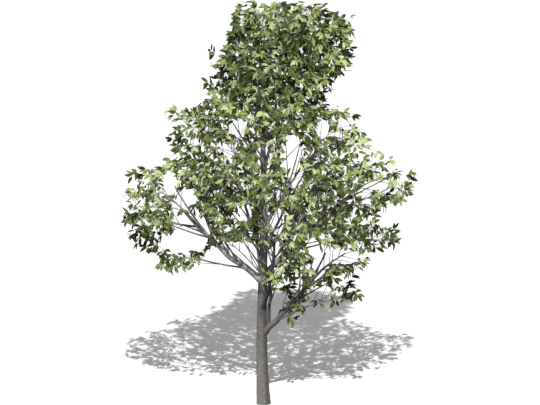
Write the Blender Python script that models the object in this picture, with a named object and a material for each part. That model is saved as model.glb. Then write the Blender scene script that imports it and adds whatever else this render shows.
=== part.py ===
"""Young hackberry tree. Metres, origin in the flat cut under the trunk, Z up, -Y to the viewer."""

import bmesh
import bpy
import numpy as np

# Gap between a limb and whatever meets it
CLEAR = 0.0003

# Trunk and leader
TRUNK_TOP = 4.86
TRUNK_RADIUS = 0.0745
TRUNK_TIP_RADIUS = 0.007
TRUNK_TAPER = 0.85
TRUNK_SIDES = 18
TRUNK_RINGS = 18
FLARE = 0.013
FLARE_HEIGHT = 0.32
FLARE_LEAN = 0.009
FLARE_LOBES = 5
FLARE_LOBE_DEPTH = 0.35
SWAY = 0.014
SWAY_LENGTH = 3.3
LEADER_BEND = 3.72
LEADER_BEND_SOFT = 0.14
LEADER_LEAN = 0.32

# Boughs: parent and place on it (metres up the trunk, or share of the bough), heading (0 is +X,
# 90 is +Y) and rise above the horizon in degrees at foot and tip, length, thickness at foot and
# tip, and the length of the stem of the mass at its tip. Where a second mass forks off near the
# tip, fork is its turn and lift in degrees.
BOUGHS = {
    "low_right": {
        "on": "trunk", "at": 0.96, "heading": (-7, -10), "rise": (45, 52),
        "length": 0.96, "thick": (0.078, 0.050), "mass": 0.56, "fork": None,
    },
    "low_right_side": {
        "on": "low_right", "at": 0.32, "heading": (-20, -14), "rise": (34, 24),
        "length": 0.52, "thick": (0.028, 0.019), "mass": 0.54, "fork": None,
    },
    "riser": {
        "on": "low_right", "at": 0.17, "heading": (-50, -20), "rise": (86, 84),
        "length": 1.05, "thick": (0.042, 0.028), "mass": 0.40, "fork": None,
    },
    "front": {
        "on": "trunk", "at": 1.28, "heading": (-73, -84), "rise": (42, 62),
        "length": 1.20, "thick": (0.060, 0.036), "mass": 0.52, "fork": (52, -12),
    },
    "low_left": {
        "on": "trunk", "at": 1.63, "heading": (175, 177), "rise": (32, 50),
        "length": 1.22, "thick": (0.078, 0.040), "mass": 0.52, "fork": (24, -40),
    },
    "low_left_side": {
        "on": "low_left", "at": 0.26, "heading": (200, 192), "rise": (12, 16),
        "length": 0.56, "thick": (0.026, 0.017), "mass": 0.46, "fork": None,
    },
    "back_low": {
        "on": "trunk", "at": 1.42, "heading": (97, 92), "rise": (38, 52),
        "length": 1.20, "thick": (0.054, 0.020), "mass": 0.52, "fork": (-52, -12),
    },
    "right": {
        "on": "trunk", "at": 1.70, "heading": (18, 14), "rise": (44, 38),
        "length": 1.40, "thick": (0.068, 0.032), "mass": 0.52, "fork": (-16, -22),
    },
    "right_low": {
        "on": "right", "at": 0.32, "heading": (-14, -22), "rise": (18, 16),
        "length": 0.72, "thick": (0.026, 0.016), "mass": 0.52, "fork": None,
    },
    "left_front": {
        "on": "front", "at": 0.50, "heading": (186, 172), "rise": (50, 46),
        "length": 0.50, "thick": (0.028, 0.017), "mass": 0.44, "fork": None,
    },
    "left_back": {
        "on": "trunk", "at": 1.91, "heading": (141, 144), "rise": (56, 40),
        "length": 0.72, "thick": (0.028, 0.016), "mass": 0.52, "fork": None,
    },
    "right_back": {
        "on": "trunk", "at": 2.02, "heading": (58, 50), "rise": (40, 48),
        "length": 1.05, "thick": (0.042, 0.018), "mass": 0.52, "fork": None,
    },
    "right_front": {
        "on": "trunk", "at": 1.98, "heading": (-56, -44), "rise": (38, 46),
        "length": 1.00, "thick": (0.042, 0.018), "mass": 0.52, "fork": None,
    },
    "front_left": {
        "on": "trunk", "at": 2.06, "heading": (-135, -123), "rise": (56, 72),
        "length": 1.15, "thick": (0.050, 0.019), "mass": 0.52, "fork": (-56, -34),
    },
    "upper_right": {
        "on": "trunk", "at": 2.35, "heading": (-13, -8), "rise": (61, 58),
        "length": 1.08, "thick": (0.048, 0.019), "mass": 0.52, "fork": (34, -34),
    },
    "upper_right_low": {
        "on": "upper_right", "at": 0.36, "heading": (-46, -30), "rise": (21, 38),
        "length": 0.42, "thick": (0.024, 0.016), "mass": 0.52, "fork": None,
    },
    "left_upper": {
        "on": "trunk", "at": 2.50, "heading": (186, 178), "rise": (46, 58),
        "length": 1.00, "thick": (0.038, 0.018), "mass": 0.52, "fork": None,
    },
    "upper_left": {
        "on": "trunk", "at": 2.62, "heading": (146, 143), "rise": (54, 52),
        "length": 0.66, "thick": (0.034, 0.017), "mass": 0.52, "fork": None,
    },
    "back_high": {
        "on": "trunk", "at": 2.75, "heading": (70, 62), "rise": (46, 60),
        "length": 0.80, "thick": (0.036, 0.017), "mass": 0.52, "fork": None,
    },
    "front_high": {
        "on": "trunk", "at": 2.88, "heading": (-86, -72), "rise": (46, 62),
        "length": 0.76, "thick": (0.036, 0.017), "mass": 0.52, "fork": None,
    },
    "left_high": {
        "on": "trunk", "at": 3.15, "heading": (176, 184), "rise": (44, 62),
        "length": 0.62, "thick": (0.032, 0.016), "mass": 0.52, "fork": None,
    },
    "right_high": {
        "on": "trunk", "at": 3.42, "heading": (-4, -2), "rise": (42, 54),
        "length": 0.78, "thick": (0.030, 0.016), "mass": 0.52, "fork": None,
    },
}
BOUGH_SIDES = 7
BOUGH_RINGS = 6
BOUGH_TAPER = 0.9
FORK_PLACE = 0.88
TIP_SUNK = 0.004

# Reach of the crown to the left and right of the foot at each height, taken where the photo's
# view, looking down by SIGHT degrees, sees it; its depth is a share of that reach
CROWN = (
    (1.06, 0.34, 0.54),
    (1.28, 0.28, 0.70),
    (1.40, -0.22, 1.26),
    (1.56, -0.30, 1.18),
    (1.68, -0.50, 1.26),
    (1.78, -1.34, 1.32),
    (1.98, -1.36, 1.44),
    (2.06, -1.38, 1.66),
    (2.15, -1.56, 1.80),
    (2.25, -1.72, 1.54),
    (2.36, -1.78, 1.42),
    (2.44, -1.82, 1.44),
    (2.53, -1.76, 1.54),
    (2.62, -1.70, 1.76),
    (2.81, -1.76, 1.94),
    (2.94, -1.62, 1.80),
    (3.08, -1.36, 1.42),
    (3.27, -1.12, 1.40),
    (3.58, -1.12, 1.26),
    (3.74, -1.20, 1.08),
    (3.82, -1.00, 0.88),
    (3.92, -0.74, 0.74),
    (4.05, -0.68, 0.82),
    (4.18, -0.58, 0.94),
    (4.30, -0.58, 1.06),
    (4.43, -0.62, 1.12),
    (4.56, -0.44, 1.14),
    (4.69, -0.40, 1.14),
    (4.82, -0.44, 1.24),
    (4.93, -0.48, 1.18),
    (5.04, -0.42, 0.98),
    (5.13, -0.34, 0.74),
    (5.20, -0.20, 0.50),
)
CROWN_POWER = 2.6
CROWN_DEPTH = 0.92
SIGHT = 14
# Openings through the crown from the front: across, up, half width and half height of each
OPENINGS = (
    (-0.30, 1.92, 0.44, 0.19),
    (-1.00, 2.08, 0.30, 0.12),
    (-0.96, 2.46, 0.18, 0.34),
    (-1.17, 2.78, 0.12, 0.11),
    (-0.23, 2.47, 0.08, 0.10),
    (-0.43, 3.27, 0.10, 0.09),
    (-0.32, 3.56, 0.10, 0.10),
    (0.36, 3.22, 0.11, 0.28),
    (0.77, 3.54, 0.12, 0.15),
    (1.17, 3.27, 0.10, 0.10),
    (1.38, 2.96, 0.22, 0.08),
    (1.26, 2.86, 0.07, 0.12),
    (0.61, 2.06, 0.11, 0.14),
    (0.92, 1.93, 0.28, 0.14),
    (0.14, 1.40, 0.15, 0.08),
    (0.02, 1.80, 0.14, 0.12),
    (0.15, 1.95, 0.05, 0.18),
    (-0.46, 1.68, 0.44, 0.16),
)

# Masses of foliage on the leader, by the golden angle from the first up
LEADER_SHOOTS = 8
LEADER_FIRST = 3.70
LEADER_LAST = 4.54
LEADER_RISE = (32, 40)
LEADER_STEM = (0.70, 0.70)
LEADER_TWIGS = 0.52
LEADER_START_HEADING = -140
GOLDEN_ANGLE = 137.5
TIP_STEM = 0.10
STEM_BEND = -22

# Stems, twigs and leaves of a mass
FORK_STEM = 1.6
STEM_RADIUS = (0.0110, 0.0070)
STEM_RINGS = 3
TWIGS = 6
TWIG_FIRST = 0.25
TWIG_LEAVING = 52
TWIG_LENGTH = 0.65
TWIG_SHORTER = 0.4
TWIG_RADIUS = (0.0042, 0.0036)
TWIG_SAG = 0.18
LEAF_LENGTH = 0.36
LEAF_WIDTH = 0.205
LEAF_THICK = 0.009
LEAF_SUNK = 0.001
LEAF_DROOP = 0.75
LEAF_SPREAD = 58
LEAF_STEP = 0.07
STEM_LEAVES = (0.84, 0.92, 0.15, 0.5)
LEAF_LEAN = 0.6
LEAF_TRIES = 30
LEAF_SHRINK = 0.02
TWIG_TRIES = 4
CELL_MARGIN = 0.002
LIMB_MARGIN = 0.003


def unit(vector):
    """Vector over its own length."""
    return vector / np.linalg.norm(vector, axis=-1, keepdims=True)


def towards(heading, rise):
    """Unit vector: heading turns it from +X towards +Y, rise lifts it, both in degrees."""
    heading = np.radians(heading)
    rise = np.radians(rise)
    flat = np.cos(rise)
    return np.stack([flat * np.cos(heading), flat * np.sin(heading), np.sin(rise)], axis=-1)


def turned(vector, axis, degrees):
    """Vector turned about a unit axis."""
    angle = np.radians(degrees)
    along = axis * np.dot(axis, vector)
    return along + np.cos(angle) * (vector - along) + np.sin(angle) * np.cross(axis, vector)


def trunk_axis(height):
    """Centre of the trunk: a slow sway, then past the bend a straight lean to the right."""
    height = np.asarray(height, float)
    past = height - LEADER_BEND
    lean = LEADER_LEAN * 0.5 * (past + np.hypot(past, LEADER_BEND_SOFT))
    sway = SWAY * np.sin(2 * np.pi * height / SWAY_LENGTH) * (height < SWAY_LENGTH)
    foot = FLARE_LEAN * (1 - np.exp(-height / FLARE_HEIGHT))
    start = LEADER_LEAN * 0.5 * (np.hypot(LEADER_BEND, LEADER_BEND_SOFT) - LEADER_BEND)
    return np.stack([lean - start - sway - foot, 0.5 * sway, height], axis=-1)


def trunk_radius(height):
    """Taper by a power of the height left, and the root flare that dies away by exp."""
    left = np.clip(1 - np.asarray(height, float) / TRUNK_TOP, 0, 1)
    taper = TRUNK_TIP_RADIUS + (TRUNK_RADIUS - TRUNK_TIP_RADIUS) * left ** TRUNK_TAPER
    return taper + FLARE * np.exp(-np.asarray(height, float) / FLARE_HEIGHT)


def ring_frames(path):
    """Two directions across a path at each point, which turn as little as they can."""
    tangent = unit(np.gradient(path, axis=0))
    across = np.zeros_like(tangent)
    helper = np.array([0.0, 1.0, 0.0]) if abs(tangent[0][1]) < 0.9 else np.array([1.0, 0.0, 0.0])
    last = unit(np.cross(tangent[0], helper))
    for place, direction in enumerate(tangent):
        last = unit(last - direction * np.dot(last, direction))
        across[place] = last
    return across, np.cross(tangent, across)


def tube_faces(rings, sides):
    """Quads between rings of points, and a flat face at each end."""
    faces = []
    for ring in range(rings - 1):
        for side in range(sides):
            after = (side + 1) % sides
            low = ring * sides
            high = low + sides
            faces.append((low + side, low + after, high + after, high + side))
    faces.append(tuple(range(sides))[::-1])
    faces.append(tuple((rings - 1) * sides + side for side in range(sides)))
    return faces


def tube(path, radii, sides):
    """Closed tube round a path: one ring of equal angles at each point."""
    across, beside = ring_frames(path)
    angle = 2 * np.pi * np.arange(sides) / sides
    rim = across[:, None] * np.cos(angle)[None, :, None]
    rim = rim + beside[:, None] * np.sin(angle)[None, :, None]
    points = path[:, None] + rim * np.asarray(radii, float)[:, None, None]
    return points.reshape(-1, 3), tube_faces(len(path), sides)


def trunk_tube(extra=0.0):
    """Trunk with its flare and root lobes; extra is added to the radius for a cutter."""
    share = np.linspace(0, 1, TRUNK_RINGS + 1) ** 1.25
    height = share * TRUNK_TOP
    path = trunk_axis(height)
    path[-1] += extra * unit(path[-1] - path[-2])
    angle = 2 * np.pi * np.arange(TRUNK_SIDES) / TRUNK_SIDES
    lobes = FLARE * FLARE_LOBE_DEPTH * np.exp(-height / FLARE_HEIGHT)[:, None]
    lobes = lobes * np.cos(FLARE_LOBES * angle + 0.6)[None, :]
    across = np.zeros((len(path), TRUNK_SIDES, 3))
    across[..., 0] = np.cos(angle)
    across[..., 1] = np.sin(angle)
    radii = (trunk_radius(height) + extra)[:, None] + lobes
    points = path[:, None] + across * radii[..., None]
    return points.reshape(-1, 3), tube_faces(len(path), TRUNK_SIDES)


def bough_path(start, heading, rise, length, steps):
    """Path whose heading and rise change evenly from foot to tip."""
    share = (np.arange(steps) + 0.5) / steps
    step = towards(
        heading[0] + (heading[1] - heading[0]) * share,
        rise[0] + (rise[1] - rise[0]) * share,
    )
    return np.vstack([start, start + np.cumsum(step * length / steps, axis=0)])


def point_on(limb, share):
    """Point, tangent and radius of a limb at a share of its length."""
    path = limb["path"]
    place = share * (len(path) - 1)
    low = min(int(place), len(path) - 2)
    part = place - low
    point = path[low] * (1 - part) + path[low + 1] * part
    radius = limb["radii"][low] * (1 - part) + limb["radii"][low + 1] * part
    return point, unit(path[low + 1] - path[low]), radius


def trunk_limb():
    """Trunk as a limb of short lengths, for placing and for clearance."""
    height = np.linspace(0, TRUNK_TOP, 61)
    return {"path": trunk_axis(height), "radii": trunk_radius(height)}


def rooted(limb, share, direction):
    """Point on the limb's axis from which the direction comes out at that share of the limb."""
    point, tangent, radius = point_on(limb, share)
    slope = np.clip(np.dot(direction, tangent), -0.95, 0.95)
    return point - tangent * radius * slope / np.sqrt(1 - slope * slope)


def all_boughs():
    """Every bough's path and radii, parents before their side boughs."""
    limbs = {"trunk": trunk_limb()}
    for name, row in BOUGHS.items():
        parent = limbs[row["on"]]
        share = row["at"] / TRUNK_TOP if row["on"] == "trunk" else row["at"]
        direction = towards(row["heading"][0], row["rise"][0])
        start = rooted(parent, share, direction)
        path = bough_path(start, row["heading"], row["rise"], row["length"], BOUGH_RINGS)
        left = 1 - np.linspace(0, 1, BOUGH_RINGS + 1)
        foot, tip = np.array(row["thick"]) / 2
        limbs[name] = {"path": path, "radii": tip + (foot - tip) * left ** BOUGH_TAPER}
    return limbs


def all_stems(limbs):
    """Stem of each mass: at a bough's tip, forking off near the tip, or on the trunk."""
    stems = {}
    for name, row in BOUGHS.items():
        heading = row["heading"][1]
        rise = row["rise"][1]
        tip, tangent, _ = point_on(limbs[name], 1)
        turn = 0
        if row["fork"]:
            turn = -0.35 * row["fork"][0]
        path = bough_path(
            tip - tangent * TIP_SUNK, (heading + turn, heading + turn), (rise, rise + STEM_BEND),
            row["mass"], STEM_RINGS,
        )
        stems["foliage_" + name] = {"path": path, "on": name, "twigs": row["mass"]}
        if row["fork"]:
            heading = heading + row["fork"][0]
            rise = rise + row["fork"][1]
            start = rooted(limbs[name], FORK_PLACE, towards(heading, rise))
            path = bough_path(
                start, (heading, heading), (rise, rise + 12), row["mass"] * FORK_STEM, STEM_RINGS
            )
            stems["foliage_" + name + "_fork"] = {"path": path, "on": name, "twigs": row["mass"]}
    shoots = {}
    for count in range(LEADER_SHOOTS):
        share = count / (LEADER_SHOOTS - 1)
        shoots["leader_" + str(count + 1)] = (
            LEADER_FIRST + (LEADER_LAST - LEADER_FIRST) * share,
            LEADER_START_HEADING + GOLDEN_ANGLE * count,
            LEADER_RISE[0] + (LEADER_RISE[1] - LEADER_RISE[0]) * share,
            LEADER_STEM[0] + (LEADER_STEM[1] - LEADER_STEM[0]) * share,
        )
    for name, (height, heading, rise, length) in shoots.items():
        start = rooted(limbs["trunk"], height / TRUNK_TOP, towards(heading, rise))
        path = bough_path(start, (heading, heading), (rise, rise + 14), length, STEM_RINGS)
        stems["foliage_" + name] = {"path": path, "on": "trunk", "twigs": LEADER_TWIGS}
    tip, tangent, _ = point_on(limbs["trunk"], 1)
    path = bough_path(tip - tangent * TIP_SUNK, (0, 0), (78, 84), TIP_STEM, STEM_RINGS)
    stems["foliage_tip"] = {"path": path, "on": "trunk", "twigs": LEADER_TWIGS}
    for stem in stems.values():
        stem["radii"] = np.linspace(*STEM_RADIUS, STEM_RINGS + 1)
        stem["centre"] = stem["path"][-1] * 0.8 + stem["path"][-2] * 0.2
    return stems


def leaf_points(root, along, lean, length, width):
    """Four corners of a keeled leaf: root, tip, and two sides that its thickness lifts."""
    across = unit(np.cross(along, np.array([0.0, 0.0, 1.0]) + lean))
    face = np.cross(across, along)
    middle = root + 0.42 * length * along + LEAF_THICK * face
    return np.array([
        root - LEAF_SUNK * along,
        root + length * along,
        middle + 0.5 * width * across,
        middle - 0.5 * width * across,
    ])


LEAF_FACES = [(0, 3, 2), (1, 2, 3), (0, 1, 3), (0, 2, 1)]
LEAF_EDGES = [(0, 2), (2, 1), (1, 3), (3, 0), (0, 1)]


def segment_gap(start, end, starts, ends):
    """Least distance from one segment to each of many segments."""
    line = end - start
    lines = ends - starts
    offset = start - starts
    aa = line @ line
    ee = np.sum(lines * lines, axis=1)
    bb = lines @ line
    cc = offset @ line
    ff = np.sum(lines * offset, axis=1)
    below = aa * ee - bb * bb
    along = np.clip((bb * ff - cc * ee) / np.where(below < 1e-12, 1, below), 0, 1)
    along = np.where(below < 1e-12, 0, along)
    other = np.clip((bb * along + ff) / ee, 0, 1)
    along = np.clip((bb * other - cc) / aa, 0, 1)
    apart = offset + along[:, None] * line - other[:, None] * lines
    return np.linalg.norm(apart, axis=1)


def leaf_crossed(corners, starts, ends):
    """True for each segment that passes through one of the leaf's two halves."""
    crossed = np.zeros(len(starts), bool)
    for half in ((0, 2, 1), (0, 1, 3)):
        a, b, c = corners[list(half)]
        normal = np.cross(b - a, c - a)
        before = (starts - a) @ normal
        after = (ends - a) @ normal
        part = before / np.where(before == after, 1, before - after)
        hit = starts + (ends - starts) * part[:, None]
        inside = np.ones(len(starts), bool)
        for p, q in ((a, b), (b, c), (c, a)):
            inside &= np.cross(q - p, hit - p) @ normal > 0
        crossed |= inside & (before * after < 0)
    return crossed


class Keeper:
    """Keeps a mass to its own cell and clear of all limbs and of the other masses' stems."""

    def __init__(self, name, stems, limbs):
        others = [stem["centre"] for key, stem in stems.items() if key != name]
        own = stems[name]["centre"]
        self.leaves = []
        self.normals = unit(np.array(others) - own)
        self.offsets = np.sum(self.normals * (np.array(others) + own) / 2, axis=1)
        bars = list(limbs.values()) + [stem for key, stem in stems.items() if key != name]
        self.starts = np.vstack([bar["path"][:-1] for bar in bars])
        self.ends = np.vstack([bar["path"][1:] for bar in bars])
        wider = [np.maximum(bar["radii"][:-1], bar["radii"][1:]) for bar in bars]
        self.radii = np.concatenate(wider)

    def in_cell(self, points, margin):
        """True if all the points are on this mass's side of every plane halfway to another."""
        return bool(np.all(np.atleast_2d(points) @ self.normals.T < self.offsets - margin))

    def in_crown(self, points):
        """True if all the points are within the crown's reach and outside its openings."""
        across, deep, height = points.T
        seen = height + deep * np.tan(np.radians(SIGHT))
        level, left, right = np.array(CROWN).T
        if min(height.min(), seen.min()) < level[0] or seen.max() > level[-1]:
            return False
        left = np.interp(seen, level, left)
        right = np.interp(seen, level, right)
        half = 0.5 * (right - left)
        wide = np.abs(across - 0.5 * (left + right)) / half
        deep = np.abs(deep) / (CROWN_DEPTH * half)
        if np.any(wide ** CROWN_POWER + deep ** CROWN_POWER > 1):
            return False
        for middle, up, half_width, half_height in OPENINGS:
            if np.any(np.hypot((across - middle) / half_width, (seen - up) / half_height) < 1):
                return False
        return True

    def twig_fits(self, start, end, radius):
        """A twig fits if it is in the cell and clear of the limbs."""
        if not self.in_cell(np.array([start, end]), CELL_MARGIN + radius):
            return False
        gap = segment_gap(start, end, self.starts, self.ends)
        return bool(np.all(gap > self.radii + radius + LIMB_MARGIN))

    def leaf_fits(self, corners):
        """A leaf fits if its corners are in the cell and no limb comes near its edges or face."""
        if not self.in_cell(corners, CELL_MARGIN) or not self.in_crown(corners):
            return False
        for first, last in LEAF_EDGES:
            gap = segment_gap(corners[first], corners[last], self.starts, self.ends)
            if np.any(gap < self.radii + LEAF_THICK + LIMB_MARGIN):
                return False
        if np.any(leaf_crossed(corners, self.starts, self.ends)):
            return False
        first, last = np.array(LEAF_EDGES).T
        for other in self.leaves:
            if np.any(leaf_crossed(corners, other[first], other[last])):
                return False
            if np.any(leaf_crossed(other, corners[first], corners[last])):
                return False
        return True


def grow_mass(name, seed, stems, limbs):
    """Twigs and leaves of one mass: twigs leave the stem by the golden angle, leaves sit
    at the ends and in turn to the left and right behind them, and droop."""
    rng = np.random.default_rng(seed)
    keeper = Keeper(name, stems, limbs)
    stem = stems[name]
    tubes = []
    end, along, _ = point_on(stem, 1)
    spots = [(end - along * LEAF_STEP * 0.1, along, 0)]
    for order, share in enumerate(STEM_LEAVES):
        point, along, _ = point_on(stem, share)
        spots.append((point, along, LEAF_SPREAD * (-1) ** order))
    roll = rng.uniform(0, 360)
    for count in range(TWIGS):
        share = TWIG_FIRST + (0.97 - TWIG_FIRST) * count / (TWIGS - 1)
        point, tangent, _ = point_on(stem, share)
        beside = unit(np.cross(tangent, np.array([0.3, 0.2, 1.0])))
        length = TWIG_LENGTH * stem["twigs"] * (1 - TWIG_SHORTER * share)
        length = length * rng.uniform(0.85, 1.15)
        for trial in range(TWIG_TRIES):
            angle = roll + GOLDEN_ANGLE * count + 50 * trial
            outward = turned(beside, tangent, angle)
            heading = turned(tangent, np.cross(tangent, outward), TWIG_LEAVING)
            heading = unit(heading + np.array([0, 0, 0.12]))
            bend = unit(heading - np.array([0, 0, TWIG_SAG]))
            end = point + unit(heading + bend) * length
            if keeper.twig_fits(point, end, TWIG_RADIUS[0]):
                tubes.append((np.array([point, end]), np.array(TWIG_RADIUS)))
                along = unit(end - point)
                side = LEAF_SPREAD * (-1) ** count
                spots.append((end - along * LEAF_STEP * 0.1, along, 0))
                spots.append((end - along * LEAF_STEP, along, side))
                break
    for root, along, spread in spots:
        flat = unit(np.cross(along, np.array([0.02, 0.01, 1.0])))
        up = np.cross(flat, along)
        full = LEAF_LENGTH * rng.uniform(0.85, 1.12)
        for trial in range(LEAF_TRIES):
            length = full * (1 - LEAF_SHRINK * trial)
            turn = spread + rng.uniform(-12, 12) + (trial + 1) // 2 * 24 * (-1) ** trial
            heading = turned(along, up, turn)
            heading = unit(heading - np.array([0, 0, LEAF_DROOP * rng.uniform(0.3, 1.5)]))
            lean = rng.normal(0, LEAF_LEAN, 3)
            width = length * LEAF_WIDTH / LEAF_LENGTH
            corners = leaf_points(root, heading, lean, length, width)
            if keeper.leaf_fits(corners):
                keeper.leaves.append(corners)
                break
    return tubes, keeper.leaves


def add_solid(name, points, faces, collection=None):
    """New object with the given points and faces, all faces turned outwards."""
    mesh = bpy.data.meshes.new(name)
    mesh.from_pydata([tuple(point) for point in points], [], faces)
    work = bmesh.new()
    work.from_mesh(mesh)
    bmesh.ops.recalc_face_normals(work, faces=work.faces)
    bmesh.ops.triangulate(work, faces=work.faces)
    work.to_mesh(mesh)
    work.free()
    solid = bpy.data.objects.new(name, mesh)
    (collection or bpy.context.scene.collection).objects.link(solid)
    return solid


def apply_boolean(solid, operation, cutter=None, collection=None):
    """One Boolean with an object or a collection, applied, its cutters then removed."""
    step = solid.modifiers.new("join", "BOOLEAN")
    step.operation = operation
    step.solver = "MANIFOLD"
    if collection:
        step.operand_type = "COLLECTION"
        step.collection = collection
    else:
        step.object = cutter
    bpy.context.view_layer.update()
    graph = bpy.context.evaluated_depsgraph_get()
    joined = bpy.data.meshes.new_from_object(solid.evaluated_get(graph))
    solid.modifiers.clear()
    old = solid.data
    solid.data = joined
    bpy.data.meshes.remove(old)
    joined.name = solid.name
    for spent in list(collection.objects) if collection else [cutter]:
        mesh = spent.data
        bpy.data.objects.remove(spent)
        bpy.data.meshes.remove(mesh)
    if collection:
        bpy.data.collections.remove(collection)


def keep_largest(solid):
    """Drops every loose scrap and sealed hollow: only the shell of the greatest volume stays."""
    work = bmesh.new()
    work.from_mesh(solid.data)
    bmesh.ops.triangulate(work, faces=work.faces)
    work.faces.ensure_lookup_table()
    seen = set()
    shells = []
    for face in work.faces:
        if face in seen:
            continue
        shell = []
        stack = [face]
        seen.add(face)
        while stack:
            one = stack.pop()
            shell.append(one)
            for edge in one.edges:
                for near in edge.link_faces:
                    if near not in seen:
                        seen.add(near)
                        stack.append(near)
        volume = 0.0
        for one in shell:
            a, b, c = (corner.co for corner in one.verts)
            volume += a.dot(b.cross(c)) / 6
        shells.append((volume, shell))
    shells.sort(key=lambda pair: -pair[0])
    for _, shell in shells[1:]:
        bmesh.ops.delete(work, geom=shell, context="FACES")
    loose = [corner for corner in work.verts if not corner.link_faces]
    bmesh.ops.delete(work, geom=loose, context="VERTS")
    work.to_mesh(solid.data)
    work.free()
    return len(shells)


def limb_cutter(name, limbs):
    """Solid of a limb that is wider and longer by the clear gap, to trim what meets it."""
    if name == "trunk":
        return add_solid("cutter", *trunk_tube(CLEAR))
    path = limbs[name]["path"].copy()
    path[-1] += CLEAR * unit(path[-1] - path[-2])
    return add_solid("cutter", *tube(path, limbs[name]["radii"] + CLEAR, BOUGH_SIDES))


def build_mass(name, seed, stems, limbs):
    """One mass: its stem trimmed clear of its limb, with twigs and leaves joined on."""
    stem = stems[name]
    solid = add_solid(name, *tube(stem["path"], stem["radii"], 3))
    apply_boolean(solid, "DIFFERENCE", cutter=limb_cutter(stem["on"], limbs))
    keep_largest(solid)
    twigs, leaves = grow_mass(name, seed, stems, limbs)
    pieces = bpy.data.collections.new(name + "_pieces")
    bpy.context.scene.collection.children.link(pieces)
    for path, radii in twigs:
        add_solid("twig", *tube(path, radii, 3), pieces)
    for corners in leaves:
        add_solid("leaf", corners, LEAF_FACES, pieces)
    apply_boolean(solid, "UNION", collection=pieces)
    shells = keep_largest(solid)
    print(name, len(twigs), "twigs", len(leaves), "leaves", shells, "shells")


for spare in list(bpy.data.objects):
    bpy.data.objects.remove(spare)

limbs = all_boughs()
stems = all_stems(limbs)
add_solid("trunk", *trunk_tube())
for name, row in BOUGHS.items():
    limb = limbs[name]
    solid = add_solid("bough_" + name, *tube(limb["path"], limb["radii"], BOUGH_SIDES))
    apply_boolean(solid, "DIFFERENCE", cutter=limb_cutter(row["on"], limbs))
    keep_largest(solid)
for order, name in enumerate(stems):
    build_mass(name, 100 + order, stems, limbs)
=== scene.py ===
"""Young hackberry tree in full leaf, dressed over its solids. Metres, Z up, -Y to the viewer."""

import bpy
import numpy as np
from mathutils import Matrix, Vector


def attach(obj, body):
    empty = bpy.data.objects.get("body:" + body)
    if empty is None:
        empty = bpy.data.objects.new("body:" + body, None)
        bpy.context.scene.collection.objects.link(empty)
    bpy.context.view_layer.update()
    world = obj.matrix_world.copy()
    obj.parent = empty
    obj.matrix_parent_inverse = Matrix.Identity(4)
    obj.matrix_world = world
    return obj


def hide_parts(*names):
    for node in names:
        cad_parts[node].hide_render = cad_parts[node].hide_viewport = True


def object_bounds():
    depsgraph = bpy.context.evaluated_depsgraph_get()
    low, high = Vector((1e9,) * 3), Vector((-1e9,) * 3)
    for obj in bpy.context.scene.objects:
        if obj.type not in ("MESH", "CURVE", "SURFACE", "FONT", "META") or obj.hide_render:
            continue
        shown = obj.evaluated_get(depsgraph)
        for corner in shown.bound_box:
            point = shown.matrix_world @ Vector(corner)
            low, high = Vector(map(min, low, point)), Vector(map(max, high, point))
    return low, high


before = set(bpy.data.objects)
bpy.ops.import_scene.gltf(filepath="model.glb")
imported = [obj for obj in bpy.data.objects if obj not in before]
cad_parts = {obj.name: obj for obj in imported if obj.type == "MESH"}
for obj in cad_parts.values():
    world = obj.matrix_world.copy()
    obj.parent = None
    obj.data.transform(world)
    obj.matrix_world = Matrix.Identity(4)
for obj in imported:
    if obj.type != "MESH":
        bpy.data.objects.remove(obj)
cad_low, cad_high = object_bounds()


# Trunk
# The real trunk is one woody stem, from its flared foot to the tip of the leader, which leans
# right past a bend. Its thin grey bark is finely fissured and set with corky warts.
TRUNK_TOP = 4.86
TRUNK_RADIUS = 0.0745
TRUNK_TIP_RADIUS = 0.007
TRUNK_TAPER = 0.85
FLARE = 0.013
FLARE_HEIGHT = 0.32
FLARE_LEAN = 0.009
FLARE_LOBES = 5
FLARE_LOBE_DEPTH = 0.35
SWAY = 0.014
SWAY_LENGTH = 3.3
LEADER_BEND = 3.72
LEADER_BEND_SOFT = 0.14
LEADER_LEAN = 0.32
FLARE_LOBE_PHASE = 0.6
TRUNK_SIDES = 84
TRUNK_RINGS = 430
RING_CROWDING = 1.1
TRUNK_SEED = 7
TRUNK_RELIEF_LEAST = 0.2
RIDGE_DEPTH = 0.0012
RIDGE_DRIFT = 0.7
WART_HEIGHT = 0.0016
WART_FROM = 0.55
GRAIN_DEPTH = 0.0008
BARK_LIGHT = (0.076, 0.072, 0.068)
BARK_DARK = (0.035, 0.032, 0.030)
BARK_ROUGHNESS = (0.96, 0.72)
BARK_SHINE = 0.25
FISSURE_STRETCH = 0.45
FISSURE_EDGES = (0.36, 0.60)
GRAIN_STRENGTH = 0.35
# Heights between which painted light on the trunk's foot fades out, and between which painted
# light makes it pale again above the lowest boughs; the darker stretch between is painted shade
FOOT_PAINTED_LIGHT = (0.35, 0.75)
CROWN_PAINTED_LIGHT = (1.3, 2.3)
# Cells of the bark's noises: round the limb, and in a metre along it
BARK_CELLS = {"drift": (5, 4), "ridge": (17, 11), "wart": (31, 48), "grain": (42, 60)}


def unit(vector):
    """Vector over its own length."""
    return vector / np.linalg.norm(vector, axis=-1, keepdims=True)


def trunk_axis(height):
    """Centre of the trunk: a slow sway, then past the bend a straight lean to the right."""
    height = np.asarray(height, float)
    past = height - LEADER_BEND
    lean = LEADER_LEAN * 0.5 * (past + np.hypot(past, LEADER_BEND_SOFT))
    sway = SWAY * np.sin(2 * np.pi * height / SWAY_LENGTH) * (height < SWAY_LENGTH)
    foot = FLARE_LEAN * (1 - np.exp(-height / FLARE_HEIGHT))
    start = LEADER_LEAN * 0.5 * (np.hypot(LEADER_BEND, LEADER_BEND_SOFT) - LEADER_BEND)
    return np.stack([lean - start - sway - foot, 0.5 * sway, height], axis=-1)


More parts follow.
